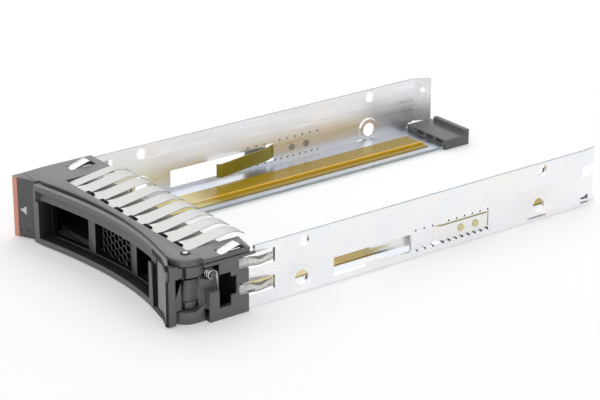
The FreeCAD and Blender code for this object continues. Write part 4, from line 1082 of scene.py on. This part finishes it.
@dataclass
class KickSpring:
    """Wound torsion spring beside the hinge: a helix of wire with one straight leg."""

    bench: Bench
    start: Point = (33.1, -55.6, 11.0)
    radius: float = 1.1
    wire: float = 0.45
    pitch: float = 0.7
    turns: float = 2.75
    leg: float = 4.4
    sides: int = 12
    steps_each_turn: int = 28

    def build(self) -> None:
        """Winds the wire and draws out its leg."""
        bm = bmesh.new()
        turn = Matrix.Rotation(math.radians(90), 4, "X")
        ring = bmesh.ops.create_circle(bm, segments=self.sides, radius=self.wire / 2, matrix=turn,
                                       cap_ends=True)
        bmesh.ops.translate(bm, verts=ring["verts"], vec=Vector(self.start) - Vector((0, 0, self.radius)))
        steps = round(self.turns * self.steps_each_turn)
        wound = bmesh.ops.spin(
            bm, geom=bm.faces[:], cent=self.start, axis=(1, 0, 0),
            dvec=(self.pitch / self.steps_each_turn, 0, 0), angle=-math.radians(360 * self.turns),
            steps=steps, use_merge=False)
        end = [item for item in wound["geom_last"] if isinstance(item, BMFace)]
        drawn = bmesh.ops.extrude_face_region(bm, geom=end)["geom"]
        tip = [item for item in drawn if isinstance(item, BMVert)]
        bmesh.ops.translate(bm, verts=tip, vec=(0, 0, -self.leg))
        bmesh.ops.delete(bm, geom=end, context="FACES_ONLY")
        self.bench.place(bm, "kick_coil", Body.FRAME, Slot.SPRING, (WIRE,), ("kick_spring",))


@dataclass
class FingerGasket:
    """Sprung strip on the bezel's deck: a flat base with one narrow and eight wide ramped fingers."""

    bench: Bench
    sheet: float = 0.16
    base_x: Pair = (-24.6, 29.4)
    base_y: Pair = (-59.0, -49.75)
    base_top: float = 15.56
    # Y and Z of a finger's root, of its highest place and of its tip
    root: Pair = (-58.7, 15.6)
    bend: Pair = (-47.6, 17.25)
    tip: Pair = (-42.1, 15.95)
    first_finger: float = -20.05
    pitch: float = 6.35
    width: float = 4.75
    taper: float = 0.6
    count: int = 8
    # X and width of the narrow one
    narrow: Pair = (-24.6, 3.5)
    # Y past which the curled-down tips take the darker fold strip, as painted shade
    painted_shade_tip: float = -43.0
    steps: int = 30
    edge: float = 0.04

    def line(self, middle: float) -> Curve:
        """Works out the curve of a finger.

        Args:
            middle: X of its middle.

        Returns:
            The curve, from 0 at its root to 1 at its tip.
        """
        slope = (self.bend[1] - self.root[1]) / (self.bend[0] - self.root[0])
        reach = self.tip[0] - self.bend[0]
        curl = (self.bend[1] + slope * reach - self.tip[1]) / reach ** 2

        def path(along: float) -> Vector:
            """Returns a place on the curve."""
            y = self.root[0] + (self.tip[0] - self.root[0]) * along
            past = max(0.0, y - self.bend[0])
            return Vector((middle, y, self.root[1] + slope * (y - self.root[0]) - curl * past ** 2))
        return path

    def build(self) -> None:
        """Makes the base and its fingers as one piece."""
        bm = bmesh.new()
        middle = sum(self.base_x) / 2
        span = Vector((self.base_x[1] - self.base_x[0], 0, 0))
        length = self.base_y[1] - self.base_y[0]
        # The base wears the paler base strip, as painted light
        ribbon(bm, lambda along: Vector((middle, self.base_y[0] + length * along, self.base_top)),
               lambda along: span, 2, self.sheet, 1)
        wide = [(self.first_finger + self.pitch * number, self.width) for number in range(self.count)]
        for left, width in [self.narrow] + wide:
            ribbon(bm, self.line(left + width / 2),
                   lambda along, root=width: Vector((root - self.taper * along, 0, 0)),
                   self.steps, self.sheet)
        # Tips past that Y wear the fold strip's painted shade
        for face in bm.faces:
            if face.calc_center_median().y > self.painted_shade_tip:
                face.material_index = 2
        piece = self.bench.place(bm, "contact_fingers_top", Body.FRAME, Slot.SPRING,
                                 (SPRING, SPRING_BASE_LIT, SPRING_FOLD_SHADE), ("finger_gasket_top",))
        self.bench.soften(piece, self.edge, 1)


@dataclass
class SideGasket:
    """Side fingers of one bezel cheek and the single finger in the cap's corner slot."""

    bench: Bench
    side: Side
    sheet: float = 0.16
    # The two corner slots lie either side of this X, this far from it
    corner_middle: float = 1.5
    corner_half: float = 33.35
    corner_width: float = 2.75
    # Y past the root, and height
    corner_line: Table = ((0.0, 15.9), (1.2, 16.25), (4.9, 17.4), (5.3, 17.45), (5.6, 17.3))
    corner_root: float = -54.2
    corner_steps: int = 34
    levels: Pair = (12.9, 6.2)
    finger_y: Pair = (-50.1, -39.5)
    # Y, and how far out
    finger_out: Table = (
        (-51.0, 36.88), (-46.6, 36.95), (-44.8, 37.6), (-43.9, 37.65), (-40.5, 36.95), (-39.0, 36.4))
    finger_width: Pair = (2.6, 1.9)
    finger_drop: float = 0.25
    finger_steps: int = 28
    # The upper edge's fold: where it is, its width, how it starts, leans and stands proud
    fold_y: Pair = (-46.9, -40.2)
    fold_width: float = 0.75
    fold_start: float = 0.08
    fold_least: float = 0.02
    fold_lean: float = 0.25
    fold_proud: float = 0.13
    fold_steps: int = 14

    def build(self) -> None:
        """Makes the three fingers as one piece."""
        word = self.side.name.lower()
        bm = bmesh.new()
        x = self.corner_middle + self.corner_half * self.side.value
        reach = self.corner_line[-1][0]
        ribbon(bm, lambda along: Vector((x, self.corner_root + reach * along,
                                         between(self.corner_line, reach * along))),
               lambda along: Vector((self.corner_width, 0, 0)), self.corner_steps, self.sheet)
        for level in self.levels:
            self.finger(bm, level, self.side.value)
        # The fingers wear the brighter strip, a painted reflection; their folds the darker one, painted
        # shade
        self.bench.place(bm, f"{word}_side_fingers", Body.FRAME, Slot.SPRING, (SPRING_SIDE_REFLECTION, SPRING_FOLD_SHADE),
                         (f"side_gasket_{word}",))

    def finger(self, bm: BMesh, level: float, sign: int) -> None:
        """Adds one side finger with its folded upper edge, which wears painted shade.

        Args:
            bm: Mesh to add to.
            level: Height of its middle at the root.
            sign: Sign of X.
        """
        start, end = self.finger_y
        wide, slim = self.finger_width
        span = self.fold_y[1] - self.fold_y[0]

        def spot(along: float) -> Vector:
            """Returns the middle of the finger's face."""
            y = start + (end - start) * along
            return Vector((sign * between(self.finger_out, y), y, level - self.finger_drop * along))

        def height(along: float) -> Vector:
            """Returns the way across the finger."""
            return Vector((0, 0, wide + (slim - wide) * along))

        def lift(along: float) -> float:
            """Returns the width of the fold."""
            return self.fold_width * math.sin(math.pi * min(1.0, self.fold_start + along)) ** 2

        def crease(along: float) -> Vector:
            """Returns the middle of the fold."""
            place = (self.fold_y[0] + span * along - start) / (end - start)
            return spot(place) + height(place) / 2 + Vector((sign * self.fold_proud, 0, -lift(along) / 2))

        ribbon(bm, spot, height, self.finger_steps, self.sheet)
        ribbon(bm, crease, lambda along: Vector((-sign * lift(along) * self.fold_lean, 0,
                                                 lift(along) + self.fold_least)),
               self.fold_steps, self.sheet / 2, 1)


@dataclass
class Rail:
    """One zinc-plated rail with its leaf spring, rivets, film and rear guide."""

    bench: Bench
    side: Side
    edge_low: float = 15.0
    ridge: Pair = (22.6, 23.3)
    leaf_split: float = 4.1
    pale_rear: float = 2.0
    shelf_top: float = 1.35
    inner_lean: float = 0.1
    rivet_share: float = 0.72
    # Where the right tail begins, how much less it turns in, and the share of its length that is left
    tail_start: float = 62.3
    tail_ease: float = 0.4
    tail_share: float = 0.64
    tail_inside: float = 32.0
    # First Y, pitch, count and height of the rows of small pierced marks around the leaf's seat
    pierced_rows: tuple[tuple[float, float, int, float], ...] = (
        (4.2, 2.75, 3, 7.6), (4.8, 2.6, 3, 2.0), (14.9, 2.6, 6, 7.7), (13.4, 2.1, 8, 2.1))
    pierced_x: Pair = (35.33, 36.33)
    pierced_radius: float = 0.26
    guide_edge: float = 0.2
    guide_front: float = 59.8
    guide_share: float = 0.62

    def build(self) -> None:
        """Makes the pieces of this side."""
        bench = self.bench
        word = self.side.name.lower()
        bench.rebuilt(f"{word}_rail", f"{word}_rail_sheet", Body.FRAME, Slot.RAIL,
                      (ZINC, ZINC_EDGE_REFLECTION, ZINC_SHELF_SHADED), choose=self.cut_edge, shape=self.ease_tail)
        bench.rebuilt(f"{word}_leaf_spring", f"{word}_leaf", Body.FRAME, Slot.LEAF,
                      (LEAF, SPRING_SIDE_REFLECTION, LEAF_PALE), choose=self.coat, shape=self.split_leaf)
        bench.rebuilt(f"{word}_film", f"{word}_shelf_film", Body.FRAME, Slot.FILM, (AMBER, AMBER_CREASE_HIGHLIGHT),
                      choose=self.on_ridge)
        bench.rebuilt(f"rear_guide_{word}", f"{word}_rear_guide", Body.FRAME, Slot.BLACK, (GUIDE_PLASTIC,),
                      self.guide_edge, shape=self.shorten_guide)
        rivet = LEAF_PALE if self.side is Side.RIGHT else SPRING
        bench.rebuilt(f"{word}_leaf_rivets", f"{word}_rivets", Body.FRAME, Slot.LEAF, (rivet,),
                      shape=self.slim_rivets)
        bm = bmesh.new()
        for start, pitch, count, height in self.pierced_rows:
            for number in range(count):
                y = start + pitch * number
                ends = [Vector((self.side.value * x, y, height)) for x in self.pierced_x]
                cylinder(bm, self.pierced_radius, *ends, 10)
        bench.place(bm, f"{word}_pierced_rows", Body.FRAME, Slot.RAIL, (ZINC_PIERCED,))

    def ease_tail(self, bm: BMesh) -> None:
        """Turns the right rail's tail in less than the left one's, as the photograph shows it.

        Args:
            bm: Copy of the rail, in metres.
        """
        if self.side is Side.RIGHT:
            for vert in bm.verts:
                x, y, z = vert.co / MM
                past = y - self.tail_start
                if past > 0.0 and x > self.tail_inside and z > self.shelf_top:
                    vert.co.x += self.tail_ease * past * MM
                    vert.co.y = (self.tail_start + self.tail_share * past) * MM

    def slim_rivets(self, bm: BMesh) -> None:
        """Makes the rivets' heads as small as the photograph shows them.

        Args:
            bm: Copy of the two rivets, in metres.
        """
        middle = sum(vert.co.y for vert in bm.verts) / len(bm.verts)
        for rear in (False, True):
            rivet = [vert for vert in bm.verts if (vert.co.y > middle) is rear]
            for axis in (1, 2):
                places = [vert.co[axis] for vert in rivet]
                hub = (min(places) + max(places)) / 2
                for vert in rivet:
                    vert.co[axis] = hub + (vert.co[axis] - hub) * self.rivet_share

    def shorten_guide(self, bm: BMesh) -> None:
        """Draws in the right guide's rear, which the photograph doesn't show past the rail's tail.

        Args:
            bm: Copy of the guide, in metres.
        """
        if self.side is Side.RIGHT:
            for vert in bm.verts:
                past = vert.co.y / MM - self.guide_front
                vert.co.y = (self.guide_front + past * self.guide_share) * MM

    def cut_edge(self, face: BMFace) -> int:
        """Tells the sheet's cut edges, with their painted reflection, and its shelf, with its painted shade,
        from its walls.

        Args:
            face: Face of the rail's copy.

        Returns:
            The number of its finish.
        """
        height = face.calc_center_median().z / MM
        top = abs(face.normal.z) > FACING and height > self.edge_low
        inner = face.normal.x * self.side.value < -FACING and height < self.shelf_top
        # The shelf takes the darker blue-grey plate: painted shade and painted reflection
        if face.normal.z > FACING and height < self.shelf_top:
            return 2
        return int(top or inner)

    def on_ridge(self, face: BMFace) -> int:
        """Returns 1 for a face of the film's crease, which wears the painted highlight, and 0 for another
        one.
        """
        return int(self.ridge[0] < abs(face.calc_center_median().x / MM) < self.ridge[1])

    def split_leaf(self, bm: BMesh) -> None:
        """Divides the leaf where its coat ends."""
        bmesh.ops.bisect_plane(bm, geom=bm.verts[:] + bm.edges[:] + bm.faces[:],
                               plane_co=(0, 0, self.leaf_split * MM), plane_no=(0, 0, 1), dist=ON_PLANE * MM)

    def coat(self, face: BMFace) -> int:
        """Gives the leaf's inner face the olive coat and its outer one bright steel, a painted reflection,
        over a pale band.

        Args:
            face: Face of the leaf's copy.

        Returns:
            The number of its finish.
        """
        if face.normal.x * self.side.value <= self.inner_lean:
            return 0
        middle = face.calc_center_median() / MM
        return 2 if middle.z < self.leaf_split and middle.y < self.pale_rear else 1


def main() -> None:
    """Builds the studio and every sub-assembly."""
    logging.basicConfig(level=logging.INFO, format="%(name)s: %(message)s")
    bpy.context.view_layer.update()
    bpy.context.scene.view_settings.view_transform = "Standard"
    Studio().build()
    bench = Bench(frame["nodes"])
    makers = [part(bench) for part in (Bezel, Shroud, Lever, Latch, KickSpring, FingerGasket)]
    makers += [part(bench, side) for side in Side for part in (SideGasket, Rail)]
    for maker in makers:
        maker.build()
        LOG.info("%s done", type(maker).__name__)


if __name__ == "__main__":
    main()
